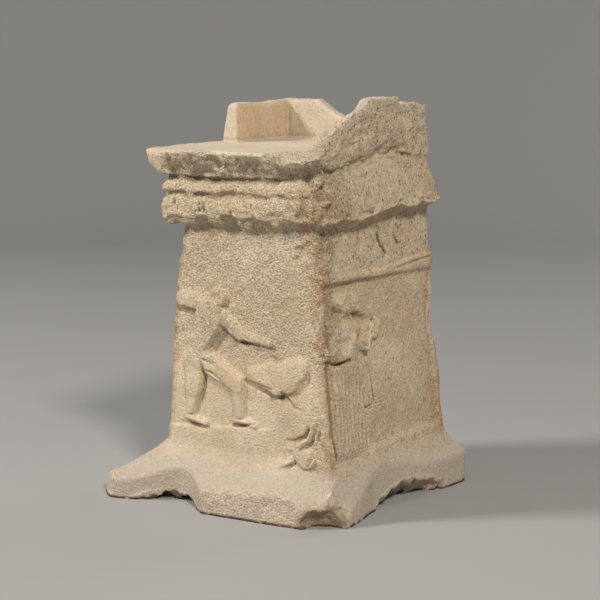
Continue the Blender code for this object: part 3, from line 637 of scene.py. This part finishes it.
def walls(x, y, z, rough):
    """What is left of the walls round the tray: left, back and the taller right one."""
    lean = 0.20 * np.clip(z - SLAB_Z, 0.0, 1.0)
    left_top = floor_level(y) + LEFT_WALL_HEIGHT - 0.002
    left = smooth_max(
        np.maximum(-x + WALL_LEFT_X + lean, x - TRAY_LEFT_X),
        np.maximum(TRAY_BACK - LEFT_WALL_LENGTH - y, y - WALL_BACK_Y),
        0.003,
    )
    left = smooth_max(left, z - left_top, 0.004)
    along_back = x - TRAY_LEFT_X + 0.3 * (y - TRAY_BACK)
    fall = np.interp(along_back, BACK_WALL_PLACES, BACK_WALL_FALL)
    back = smooth_max(
        np.maximum(TRAY_BACK - y, y - WALL_BACK_Y + 0.3 * lean),
        np.maximum(WALL_LEFT_X + lean - x, x - WALL_RIGHT_X),
        0.012,
    )
    back = smooth_max(back, z - left_top + fall, 0.003)
    right_front = WALL_BACK_Y - RIGHT_WALL_LENGTH
    top_fall = np.interp(y - right_front, RIGHT_TOP_PLACES, RIGHT_TOP_FALL)
    right = smooth_max(
        np.maximum(TRAY_RIGHT_X - x, x - WALL_RIGHT_X + 1.1 * rough),
        np.maximum(right_front - y, y - WALL_BACK_Y),
        0.016,
    )
    right = smooth_max(right, z - SLAB_Z - RIGHT_WALL_HEIGHT + top_fall + 0.4 * rough, 0.002)
    low_end = break_distance(x, y, z, (TRAY_RIGHT_X, right_front, SLAB_Z), (-0.47, -0.38, 0.80))
    high_end = break_distance(
        x, y, z, (WALL_RIGHT_X, right_front + 0.049, SLAB_Z + 0.029), (-0.50, -0.59, 0.64)
    )
    broken_end = smooth_min(low_end + 0.002, high_end, 0.002) + 1.2 * rough
    right = smooth_max(right, broken_end, 0.002)
    right = np.maximum(right, shadow_line(y) - z)
    thin_walls = np.maximum(smooth_min(left, back, 0.002), FILLET_Z - z)
    return smooth_min(thin_walls, right, 0.003)


def ellipsoid(x, y, z, centre, radii):
    """Distance, near enough, to an ellipsoid with its axes along X, Y and Z."""
    reach = np.sqrt(
        ((x - centre[0]) / radii[0]) ** 2
        + ((y - centre[1]) / radii[1]) ** 2
        + ((z - centre[2]) / radii[2]) ** 2
    )
    return (reach - 1.0) * min(radii)


# Where pieces have come away: centre and radii of each hollow, and how rough it is
HOLLOWS = (
    ((-0.052, -PLINTH_FRONT + 0.010, -0.007), (0.030, 0.028, 0.014), 2.2),
    ((PLINTH_RIGHT - 0.002, -PLINTH_FRONT + 0.012, 0.000), (0.024, 0.024, 0.020), 0.6),
    ((PLINTH_RIGHT + 0.004, 0.012, -0.002), (0.026, 0.040, 0.0175), 1.4),
    ((0.054, -SLAB_FRONT - 0.010, SLAB_Z + 0.012), (0.030, 0.040, 0.019), 0.15),
    ((0.039, -SLAB_FRONT - 0.005, SLAB_Z + 0.001), (0.009, 0.014, 0.013), 0.5),
    ((0.052, -SLAB_FRONT - 0.006, FILLET_Z + 0.001), (0.036, 0.016, 0.010), 0.8),
    ((0.050, -SLAB_FRONT - 0.002, FILLET_Z + 0.0015), (0.030, 0.021, 0.0045), 0.3),
    ((-0.030, -SLAB_FRONT - 0.007, FILLET_Z + 0.006), (0.046, 0.013, 0.012), 1.5),
    ((NECK_WIDTH / 2 + 0.001, -NECK_DEPTH / 2 - 0.004, NECK_Z - 0.012), (0.012, 0.008, 0.013), 1.3),
    ((NECK_WIDTH / 2 - 0.012, -NECK_DEPTH / 2 - 0.0045, NECK_Z - 0.012), (0.011, 0.007, 0.010), 1.2),
    ((0.066, -0.081, BAND_Z - 0.001), (0.007, 0.005, 0.005), 0.8),
    ((0.074, -0.072, BAND_Z - 0.010), (0.006, 0.007, 0.006), 0.8),
    ((0.058, -0.0835, BAND_Z - 0.013), (0.007, 0.004, 0.004), 0.8),
    ((0.069, -0.079, NECK_Z + 0.003), (0.007, 0.007, 0.004), 0.8),
    ((0.0805, -0.0905, 0.0035), (0.0170, 0.0170, 0.0120), 0.9),
)

# Straight breaks through the plinth: a point on each, the direction it faces and how rough it is
BREAKS = (
    ((PLINTH_RIGHT - 0.015, -PLINTH_FRONT + 0.026, 0.0), (0.80, -0.60, 0.10), 1.5),
    ((0.030, -PLINTH_FRONT + 0.0145, 0.0), (0.14, -0.99, 0.0), 0.2),
    ((-PLINTH_LEFT + 0.008, -PLINTH_FRONT + 0.006, 0.0), (-0.62, -0.78, 0.15), 0.3),
)


def unevenness(points):
    """How the stone waves, how rough its breaks are and how ragged its mouldings, at each point."""
    wave = lattice_noise(points, 0.030, 1) + 0.7 * lattice_noise(points, 0.012, 2)
    rough = 0.7 * lattice_noise(points, 0.014, 3) + 0.5 * lattice_noise(points, 0.006, 4)
    craggy = 0.45 * crags(points, 0.009, 6) + 0.25 * crags(points, 0.0045, 7)
    ragged = 0.0028 * lattice_noise(points * (1.0, 1.0, 0.4), 0.011, 5)
    lumpy = 0.0022 * lattice_noise(points, 0.0100, 12) + 0.0018 * (0.45 - crags(points, 0.0058, 13))
    return WAVINESS * wave, BREAK_ROUGHNESS * (rough + craggy - 0.35), ragged, lumpy


def stone(points, uneven, relief=1.0):
    """Signed distance, near enough, to the altar's surface, negative inside. Relief 0 is uncarved."""
    x, y, z = points.T
    wave, rough, ragged, lumpy = uneven
    body = smooth_min(plinth(x, y, z), shaft(x, y, z, relief), FOOT_FILLET)
    top = smooth_min(cornice(x, y, z, ragged, lumpy, relief), slab(x, y, z, rough), SLAB_FILLET)
    body = smooth_min(body, top, NECK_FILLET)
    body = smooth_min(body, walls(x, y, z, rough), SLAB_FILLET)
    above = z - shadow_line(y) - 0.0005
    crease = mound(above, 0.0, np.where(above > 0.0, 0.0075, 0.0025))
    crease = crease * smooth_step(0.050, 0.015, y) * smooth_step(0.045, 0.055, x)
    body = body + wave + (CREASE_DEPTH + rough) * crease
    for centre, radii, roughness in HOLLOWS:
        body = smooth_max(body, -ellipsoid(x, y, z, centre, radii) + roughness * rough, BREAK_EDGE)
    above_plinth = np.clip(z - FOOT_Z, 0.0, 1.0)
    for point, facing, roughness in BREAKS:
        gap = break_distance(x, y, z, point, facing) + roughness * rough - above_plinth
        body = smooth_max(body, gap, BREAK_EDGE)
    return np.maximum(body, -z - UNDERCUT)


def shown(name, data):
    """A new object for a mesh, light or camera, in the scene."""
    item = bpy.data.objects.new(name, data)
    bpy.context.scene.collection.objects.link(item)
    return item


def applied(block):
    """The mesh that an object's modifier gives. The object and its old mesh are taken away."""
    old = block.data
    graph = bpy.context.evaluated_depsgraph_get()
    skin = bpy.data.meshes.new_from_object(block.evaluated_get(graph))
    bpy.data.objects.remove(block)
    bpy.data.meshes.remove(old)
    return skin


def remeshed(mesh_data, pitch, name):
    """The closed skin of a mesh, made anew from even faces of the given size."""
    block = shown(name, mesh_data)
    remesh = block.modifiers.new("even faces", "REMESH")
    remesh.mode = "VOXEL"
    remesh.voxel_size = pitch
    return applied(block)


def mesh_points(mesh_data, what, name):
    """One vector for each vertex of a mesh, as rows."""
    rows = np.empty(len(mesh_data.vertices) * 3)
    what.foreach_get(name, rows)
    return rows.reshape(-1, 3)


def move_vertices(mesh_data, points):
    """Put every vertex of a mesh at its new point."""
    mesh_data.vertices.foreach_set("co", points.ravel())
    mesh_data.update()


def outward_from(points, uneven):
    """Unit directions straight out of the stone as it was before its faces were carved."""
    level = stone(points, uneven, 0.0)
    outward = np.empty_like(points)
    for axis in range(3):
        shifted = points.copy()
        shifted[:, axis] += PROBE
        outward[:, axis] = stone(shifted, uneven, 0.0) - level
    return outward / np.maximum(np.linalg.norm(outward, axis=1), 1e-9)[:, None]


def carve(mesh_data, rounds, longest_step):
    """Move every vertex straight in or out to the surface of stone(), a little at a time."""
    points = mesh_points(mesh_data, mesh_data.vertices, "co")
    for turn in range(rounds):
        uneven = unevenness(points)
        if turn % 2 == 0:
            outward = outward_from(points, uneven)
        level = stone(points, uneven)
        steepness = (stone(points + outward * PROBE, uneven) - level) / PROBE
        step = level / np.maximum(steepness, LEAST_STEEPNESS)
        points -= outward * np.clip(step, -longest_step, longest_step)[:, None]
    move_vertices(mesh_data, points)


def outer_wall(x, z):
    """1 on the outer face of the right wall."""
    outside = smooth_step(WALL_RIGHT_X - 0.008, WALL_RIGHT_X - 0.003, x)
    return outside * smooth_step(SLAB_Z - 0.006, SLAB_Z + 0.004, z)


def shade_and_soil_places(points):
    """Painted shade, in a soil colour: 1 in the scoop under the near corner, less on the upper right
    and in the draped figure's folds and cuts.
    """
    x, y, z = points.T
    centre, radii, _ = HOLLOWS[-1]
    scoop = smooth_step(0.0045, 0.0015, np.abs(ellipsoid(x, y, z, centre, radii)))
    right = smooth_step(0.052, 0.060, x) * smooth_step(NECK_Z + 0.004, NECK_Z + 0.012, z)
    u, v = draped_place(y, z)
    dress, folds = dress_folds(u, v)
    in_folds = 0.75 * dress * (1.0 - folds) ** 3
    in_grooves = 0.85 * np.minimum(1.0, deepest_groove(u, v, DRAPED_GROOVES))
    cut = np.maximum(in_folds, in_grooves)
    cut = cut * smooth_step(0.052, 0.058, x) * smooth_step(-0.071, -0.069, y)
    return np.maximum.reduce([scoop, 0.30 * right, cut])


def low_shade_foot(points):
    """Painted shade, darker and greyer towards the bottom: 1 on the plinth, fading out above the foot
    of the shaft.
    """
    z = points[:, 2]
    on_plinth = smooth_step(FOOT_Z + 0.010, FOOT_Z - 0.010, z)
    return 0.70 * on_plinth + 0.30 * smooth_step(0.095, 0.055, z)


def coarseness(points):
    """How coarse the skin is: 1 on worn and broken stone, 0 where it was worked smooth."""
    x, y, z = points.T
    on_front = smooth_step(-0.055, -0.062, y)
    on_right = smooth_step(0.054, 0.060, x) * smooth_step(FOOT_Z, FOOT_Z + 0.010, z)
    coarse = 0.22 + 0.60 * on_front * smooth_step(0.095, 0.125, z) + 0.28 * on_right
    coarse = coarse * (1.0 - 0.8 * smooth_step(FILLET_Z + 0.010, SLAB_Z, z))
    coarse = coarse + 0.45 * outer_wall(x, z)
    on_cornice = smooth_step(NECK_Z - 0.006, NECK_Z, z)
    on_cornice = on_cornice * smooth_step(FILLET_Z + 0.012, FILLET_Z, z)
    on_cornice = on_cornice * (1.0 - 0.5 * smooth_step(-0.055, -0.035, y) * on_right)
    kept_crisp = smooth_step(0.010, -0.030, x) * smooth_step(NECK_Z, NECK_Z + 0.008, z)
    on_cornice = on_cornice * (1.0 - 0.70 * kept_crisp)
    broken = fresh_break(points) * (0.55 + 0.45 * smooth_step(FOOT_Z - 0.010, FOOT_Z, z))
    return np.maximum.reduce([coarse, on_cornice, broken])


def roughen(mesh_data):
    """Raise and lower the skin by its grain."""
    points = mesh_points(mesh_data, mesh_data.vertices, "co")
    normals = mesh_points(mesh_data, mesh_data.vertex_normals, "vector")
    grain = 0.00085 * lattice_noise(points, 0.0060, 8) + 0.00065 * lattice_noise(points, 0.0032, 9)
    height = grain * (coarseness(points) - 0.15) * smooth_step(-0.001, 0.003, points[:, 2])
    points += normals * height[:, None]
    move_vertices(mesh_data, points)


def flatten_underside(mesh_data):
    """Cut the stone off at z = 0, so that it stands on a flat face."""
    mesh = bmesh.new()
    mesh.from_mesh(mesh_data)
    everything = mesh.verts[:] + mesh.edges[:] + mesh.faces[:]
    cut = bmesh.ops.bisect_plane(
        mesh, geom=everything, dist=1e-6, plane_co=(0, 0, 0), plane_no=(0, 0, -1), clear_outer=True
    )
    rim = [item for item in cut["geom_cut"] if isinstance(item, bmesh.types.BMEdge)]
    bmesh.ops.triangle_fill(mesh, edges=rim, use_beauty=True)
    bmesh.ops.dissolve_degenerate(mesh, edges=mesh.edges[:], dist=1e-5)
    bmesh.ops.triangulate(mesh, faces=[face for face in mesh.faces if len(face.verts) > 3])
    bmesh.ops.recalc_face_normals(mesh, faces=mesh.faces[:])
    mesh.to_mesh(mesh_data)
    mesh.free()


def thinned(mesh_data, triangles, name):
    """The same surface with far fewer triangles, most of them kept where the carving is."""
    block = shown(name, mesh_data)
    thin = block.modifiers.new("fewer triangles", "DECIMATE")
    thin.ratio = triangles / (2.0 * len(mesh_data.polygons))
    thin.use_collapse_triangulate = True
    return applied(block)


def deepened_solid():
    """A welded copy of the altar's solid, its underside let down so that it can be cut flat later."""
    mesh = bmesh.new()
    mesh.from_mesh(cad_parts["limestone_altar"].data)
    bmesh.ops.remove_doubles(mesh, verts=mesh.verts[:], dist=1e-6)
    underside = [vert for vert in mesh.verts if vert.co.z < 1e-5]
    bmesh.ops.translate(mesh, vec=(0.0, 0.0, -UNDERCUT), verts=underside)
    solid = bpy.data.meshes.new("solid")
    mesh.to_mesh(solid)
    mesh.free()
    return solid


def note(mesh_data, name, values):
    """Keep one number for each vertex, for the stone's material to read."""
    layer = mesh_data.attributes.new(name, "FLOAT", "POINT")
    layer.data.foreach_set("value", np.clip(values, 0.0, 1.0).astype(np.float32))


def fresh_break(points):
    """1 where a piece has come away, 0 on the old worked surface."""
    x, y, z = points.T
    fresh = np.zeros(len(points))
    for centre, radii, _ in HOLLOWS:
        gap = np.abs(ellipsoid(x, y, z, centre, radii))
        fresh = np.maximum(fresh, smooth_step(0.0035, 0.0015, gap))
    for point, facing, _ in BREAKS:
        gap = np.abs(break_distance(x, y, z, point, facing)) + 2.0 * np.clip(z - FOOT_Z, 0.0, 1.0)
        fresh = np.maximum(fresh, smooth_step(0.0035, 0.0015, gap))
    return fresh


def rusty_arris(points):
    """1 along the arrises and the worn near corner that have taken an orange-brown stain."""
    x, y, z = points.T
    half_x = half_size(z, FOOT_WIDTH, NECK_WIDTH)
    half_y = half_size(z, FOOT_DEPTH, NECK_DEPTH)
    on_shaft = smooth_step(FOOT_Z - 0.004, FOOT_Z + 0.010, z)
    on_shaft = on_shaft * smooth_step(NECK_Z, NECK_Z - 0.030, z)
    near = np.hypot(x - half_x, y + half_y)
    back = np.hypot(x - half_x, y - half_y)
    left = np.hypot(x + half_x, y + half_y)
    stain = np.maximum(smooth_step(0.013, 0.004, near), smooth_step(0.017, 0.005, back))
    stain = np.maximum(stain, 0.8 * smooth_step(0.009, 0.003, left)) * on_shaft
    corner = np.hypot(x - NECK_WIDTH / 2, y + NECK_DEPTH / 2)
    corner = smooth_step(0.022, 0.008, corner) * smooth_step(NECK_Z - 0.022, NECK_Z - 0.010, z)
    return np.maximum(stain, 0.8 * corner * smooth_step(FILLET_Z + 0.002, FILLET_Z - 0.004, z))


def brown_recess(points):
    """1 on the inner face of the tray's left wall, which is browner."""
    x, y, z = points.T
    inside = smooth_step(-0.0575, -0.0560, x) * smooth_step(-0.050, -0.053, x)
    inside = inside * smooth_step(TRAY_BACK + 0.001, TRAY_BACK - 0.001, y)
    return inside * smooth_step(SLAB_Z + 0.004, SLAB_Z + 0.008, z)


def grey_patina(points):
    """1 on the tray's floor and the walls' broken tops, which are greyer and paler."""
    x, y, z = points.T
    above = smooth_step(SLAB_Z - 0.004, SLAB_Z + 0.001, z)
    outside = smooth_step(WALL_RIGHT_X - 0.008, WALL_RIGHT_X - 0.001, x)
    on_plinth = smooth_step(FOOT_Z - 0.002, FOOT_Z - 0.012, z)
    return np.maximum(above * (1.0 - 0.75 * outside), 0.9 * on_plinth)


def pitted(points):
    """1 on the right and upper faces, whose skin is full of small dark pits."""
    x, y, z = points.T
    to_the_right = smooth_step(0.050, 0.064, x)
    high = smooth_step(NECK_Z - 0.040, NECK_Z - 0.010, z)
    off_plinth = smooth_step(FOOT_Z - 0.010, FOOT_Z, z)
    share = 0.15 + 0.30 * to_the_right + 0.55 * to_the_right * high + 0.15 * high
    return off_plinth * np.clip(share, 0.0, 1.0)


def note_wear(mesh_data):
    """Note how hollow, how sharp, how coarse and how stained the stone is at each vertex; hollowness
    is later painted as shade with soil, sharpness as a highlight with rubbing.
    """
    points = mesh_points(mesh_data, mesh_data.vertices, "co")
    normals = mesh_points(mesh_data, mesh_data.vertex_normals, "vector")
    uneven = unevenness(points)
    level = stone(points, uneven)
    # How far the surface is sunk in, felt just outside it: painted as shade, with soil, in hollows
    # and narrow cuts
    deep = 1.0 - (stone(points + normals * HOLLOW_REACH, uneven) - level) / HOLLOW_REACH
    narrow = 1.0 - (stone(points + normals * CUT_REACH, uneven) - level) / CUT_REACH
    # How far an edge stands out, felt just inside it: painted as a highlight, with rubbing, on edges
    sharp = 1.0 - (level - stone(points - normals * EDGE_REACH, uneven)) / EDGE_REACH
    note(mesh_data, "hollow", np.maximum(deep, narrow))
    note(mesh_data, "edge", sharp)
    for name, places in (
        ("coarse", coarseness),
        ("fresh", fresh_break),
        ("rusty", rusty_arris),
        ("brown", brown_recess),
        ("grey", grey_patina),
        ("pitted", pitted),
        # painted shade, in a soil colour, in the corner scoop, the upper right and the draped
        # figure's folds and cuts
        ("shade_and_soil", shade_and_soil_places),
        # painted shade, darker and greyer towards the bottom
        ("low_shade", low_shade_foot),
    ):
        note(mesh_data, name, places(points))


def limestone_altar():
    """The whole carved stone, in place of its plainer solid."""
    pitch = FINE_PITCH * 1.0
    skin = remeshed(deepened_solid(), pitch * FIRST_SHARE, "first skin")
    carve(skin, CARVE_ROUNDS, FIRST_STEP)
    skin = remeshed(skin, pitch, "fine skin")
    carve(skin, CARVE_ROUNDS, FINE_STEP)
    roughen(skin)
    skin = thinned(skin, min(TRIANGLES, 1.9 * len(skin.polygons)), "thinning")
    flatten_underside(skin)
    note_wear(skin)
    skin.name = "limestone altar"
    skin.materials.clear()
    skin.materials.append(limestone())
    skin.shade_smooth()
    altar = shown("carved_altar", skin)
    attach(altar, "root")
    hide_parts("limestone_altar")


def fed(tree, socket, value):
    """Link another node's output to a socket, or set the socket to a plain value."""
    if isinstance(value, bpy.types.NodeSocket):
        tree.links.new(value, socket)
    else:
        socket.default_value = value


def joined(tree, kind, **inputs):
    """Add a node, and set or link each input that is named."""
    node = tree.nodes.new(kind)
    for name, value in inputs.items():
        fed(tree, node.inputs[name], value)
    return node


def noise(tree, place, scale, detail=3.0, roughness=0.55):
    """Even noise on the stone's own coordinates, 0 to 1."""
    node = joined(
        tree, "ShaderNodeTexNoise", Vector=place, Scale=scale, Detail=detail, Roughness=roughness
    )
    return node.outputs["Fac"]


def stretched(tree, value, low, high):
    """Spread the part of a value between low and high over 0 to 1, in an S curve."""
    node = tree.nodes.new("ShaderNodeMapRange")
    node.interpolation_type = "SMOOTHSTEP"
    tree.links.new(value, node.inputs["Value"])
    node.inputs["From Min"].default_value = low
    node.inputs["From Max"].default_value = high
    return node.outputs["Result"]


def math_of(tree, operation, first, second):
    """Sum, product or the like of two values."""
    node = tree.nodes.new("ShaderNodeMath")
    node.operation = operation
    fed(tree, node.inputs[0], first)
    fed(tree, node.inputs[1], second)
    return node.outputs[0]


def tinted(tree, under, share, colour, most=1.0):
    """Lay a colour over another where share is high."""
    node = tree.nodes.new("ShaderNodeMix")
    node.data_type = "RGBA"
    if most != 1.0:
        share = math_of(tree, "MULTIPLY", share, most)
    tree.links.new(share, node.inputs["Factor"])
    for socket, value in ((node.inputs[6], under), (node.inputs[7], colour)):
        fed(tree, socket, (*value, 1.0) if isinstance(value, tuple) else value)
    return node.outputs[2]


def noted(tree, name):
    """A number kept for each vertex."""
    node = tree.nodes.new("ShaderNodeAttribute")
    node.attribute_name = name
    return node.outputs["Fac"]


def limestone():
    """Warm, granular limestone: soil and painted shade in hollows, edges paler from rubbing and a
    painted highlight, pale breaks and dark pinholes.
    """
    material = bpy.data.materials.new("limestone")
    material.use_nodes = True
    tree = material.node_tree
    shader = tree.nodes["Principled BSDF"]
    place = tree.nodes.new("ShaderNodeTexCoord").outputs["Object"]
    height = tree.nodes.new("ShaderNodeSeparateXYZ")
    tree.links.new(place, height.inputs[0])
    broad = noise(tree, place, 24.0, 2.0)
    patches = noise(tree, place, 110.0, 3.0)
    mottle = noise(tree, place, 340.0, 2.0, 0.6)
    grain = noise(tree, place, 720.0, 2.0, 0.65)
    colour = tinted(tree, STONE_WARM, stretched(tree, broad, 0.38, 0.62), STONE_PALE)
    colour = tinted(tree, colour, stretched(tree, patches, 0.48, 0.66), STONE_OCHRE, 0.35)
    for name, tint, most in (
        ("grey", STONE_GREY, 0.65),
        # painted shade, darker and greyer towards the bottom
        ("low_shade", STONE_LOW_SHADE, 0.70),
        ("brown", STONE_BROWN, 0.65),
    ):
        colour = tinted(tree, colour, noted(tree, name), tint, most)
    fresh = math_of(tree, "MULTIPLY", noted(tree, "fresh"), stretched(tree, patches, 0.35, 0.55))
    colour = tinted(tree, colour, fresh, STONE_FRESH, 0.55)
    rusty = math_of(tree, "MULTIPLY", noted(tree, "rusty"), stretched(tree, patches, 0.32, 0.54))
    colour = tinted(tree, colour, rusty, STONE_RUST, 0.85)
    colour = tinted(tree, colour, stretched(tree, mottle, 0.50, 0.70), STONE_DARK, 0.25)
    strength = math_of(tree, "ADD", math_of(tree, "MULTIPLY", noted(tree, "coarse"), 0.52), 0.12)
    darker = math_of(tree, "MULTIPLY", stretched(tree, grain, 0.50, 0.66), strength)
    lighter = math_of(tree, "MULTIPLY", stretched(tree, grain, 0.47, 0.31), strength)
    colour = tinted(tree, colour, darker, STONE_DARK)
    colour = tinted(tree, colour, lighter, STONE_PALE_AND_HIGHLIGHT)
    blots = stretched(tree, noise(tree, place, 210.0, 3.0, 0.7), 0.50, 0.66)
    blotches = math_of(tree, "MULTIPLY", blots, noted(tree, "pitted"))
    colour = tinted(tree, colour, blotches, STONE_SOIL_AND_SHADE, 0.36)
    # Painted shade, with soil, in hollows and narrow cuts
    hollow = stretched(tree, noted(tree, "hollow"), 0.08, 0.85)
    colour = tinted(tree, colour, hollow, STONE_SOIL_AND_SHADE, 0.72)
    # Painted highlight, with rubbing, on sharp edges
    edge = stretched(tree, noted(tree, "edge"), 0.35, 0.85)
    colour = tinted(tree, colour, edge, STONE_PALE_AND_HIGHLIGHT, 0.38)
    upright = joined(tree, "ShaderNodeMapping", Vector=place, Scale=(1.0, 1.0, 0.45))
    pits = joined(tree, "ShaderNodeTexVoronoi", Vector=upright.outputs[0], Scale=400.0)
    pit = stretched(tree, pits.outputs["Distance"], 0.30, 0.13)
    pit = math_of(tree, "MULTIPLY", pit, noted(tree, "pitted"))
    pit = math_of(tree, "MULTIPLY", pit, stretched(tree, mottle, 0.44, 0.56))
    colour = tinted(tree, colour, pit, STONE_PIT, 0.72)
    # Painted shade, in a soil colour, in the corner scoop, on the upper right and in the draped
    # figure's folds and cuts
    colour = tinted(tree, colour, noted(tree, "shade_and_soil"), STONE_SOIL_AND_SHADE, 0.55)
    low = stretched(tree, height.outputs["Z"], CRUST_TOP, CRUST_FULL)
    crust = math_of(tree, "MULTIPLY", low, stretched(tree, patches, 0.36, 0.46))
    colour = tinted(tree, colour, crust, STONE_CRUST, 0.90)
    tree.links.new(colour, shader.inputs["Base Color"])
    shader.inputs["Roughness"].default_value = STONE_ROUGHNESS
    shader.inputs["Specular IOR Level"].default_value = STONE_SPECULAR
    lumps = math_of(tree, "MULTIPLY", mottle, math_of(tree, "ADD", noted(tree, "coarse"), 0.05))
    sand = math_of(tree, "MULTIPLY", grain, math_of(tree, "MULTIPLY", strength, 1.5))
    depth = math_of(tree, "ADD", math_of(tree, "MULTIPLY", lumps, 0.65), sand)
    depth = math_of(tree, "SUBTRACT", depth, math_of(tree, "MULTIPLY", pit, 0.35))
    bump = joined(tree, "ShaderNodeBump", Strength=1.0, Distance=BUMP_DEPTH, Height=depth)
    tree.links.new(bump.outputs["Normal"], shader.inputs["Normal"])
    return material


def pale_floor():
    """A plain pale floor that turns up far behind the altar on every side."""
    mesh = bmesh.new()
    turns = [math.radians(9.0 * step) for step in range(11)]
    section = [(0.0, 0.0), (FLOOR_FLAT, 0.0)]
    for turn in turns:
        reach = FLOOR_TURN + FLOOR_BEND * math.sin(turn)
        section.append((reach, FLOOR_BEND - FLOOR_BEND * math.cos(turn)))
    section.append((FLOOR_TURN + FLOOR_BEND, FLOOR_HEIGHT))
    verts = [mesh.verts.new((reach, 0.0, height)) for reach, height in section]
    edges = [mesh.edges.new(pair) for pair in zip(verts, verts[1:])]
    bmesh.ops.spin(
        mesh,
        geom=verts + edges,
        cent=(0, 0, 0),
        axis=(0, 0, 1),
        angle=2 * math.pi,
        steps=96,
        use_merge=True,
    )
    bmesh.ops.remove_doubles(mesh, verts=mesh.verts[:], dist=1e-5)
    sheet = bpy.data.meshes.new("floor")
    mesh.to_mesh(sheet)
    mesh.free()
    sheet.shade_smooth()
    material = bpy.data.materials.new("floor paper")
    material.use_nodes = True
    shader = material.node_tree.nodes["Principled BSDF"]
    shader.inputs["Base Color"].default_value = FLOOR_COLOUR
    shader.inputs["Roughness"].default_value = FLOOR_ROUGHNESS
    sheet.materials.append(material)
    floor = shown("floor", sheet)


def soft_light(name, place, power, width, tint):
    """A square soft light that faces the middle of the altar."""
    lamp = bpy.data.lights.new(name, "AREA")
    lamp.energy = power
    lamp.size = width
    lamp.color = tint
    holder = shown(name, lamp)
    holder.location = place
    holder.rotation_euler = (Vector(LIT_POINT) - Vector(place)).to_track_quat("-Z", "Y").to_euler()


def studio():
    """A soft key light, one from the right, weak ones above and behind, and a dim sky."""
    for light in LIGHTS:
        soft_light(*light)
    world = bpy.data.worlds.new("studio air")
    world.use_nodes = True
    sky = world.node_tree.nodes["Background"]
    sky.inputs["Color"].default_value = SKY_COLOUR
    sky.inputs["Strength"].default_value = SKY_STRENGTH
    bpy.context.scene.world = world
    bpy.context.scene.view_settings.view_transform = "Standard"


def photographers_camera():
    """The camera at the photograph's viewing angle."""
    lens = bpy.data.cameras.new("camera")
    lens.lens = CAMERA_LENS
    lens.sensor_width = CAMERA_SENSOR
    holder = shown("camera", lens)
    holder.location = CAMERA_PLACE
    holder.rotation_euler = (math.radians(CAMERA_TILT), 0.0, math.radians(CAMERA_TURN))
    bpy.context.scene.camera = holder


photographers_camera()
studio()
pale_floor()
limestone_altar()
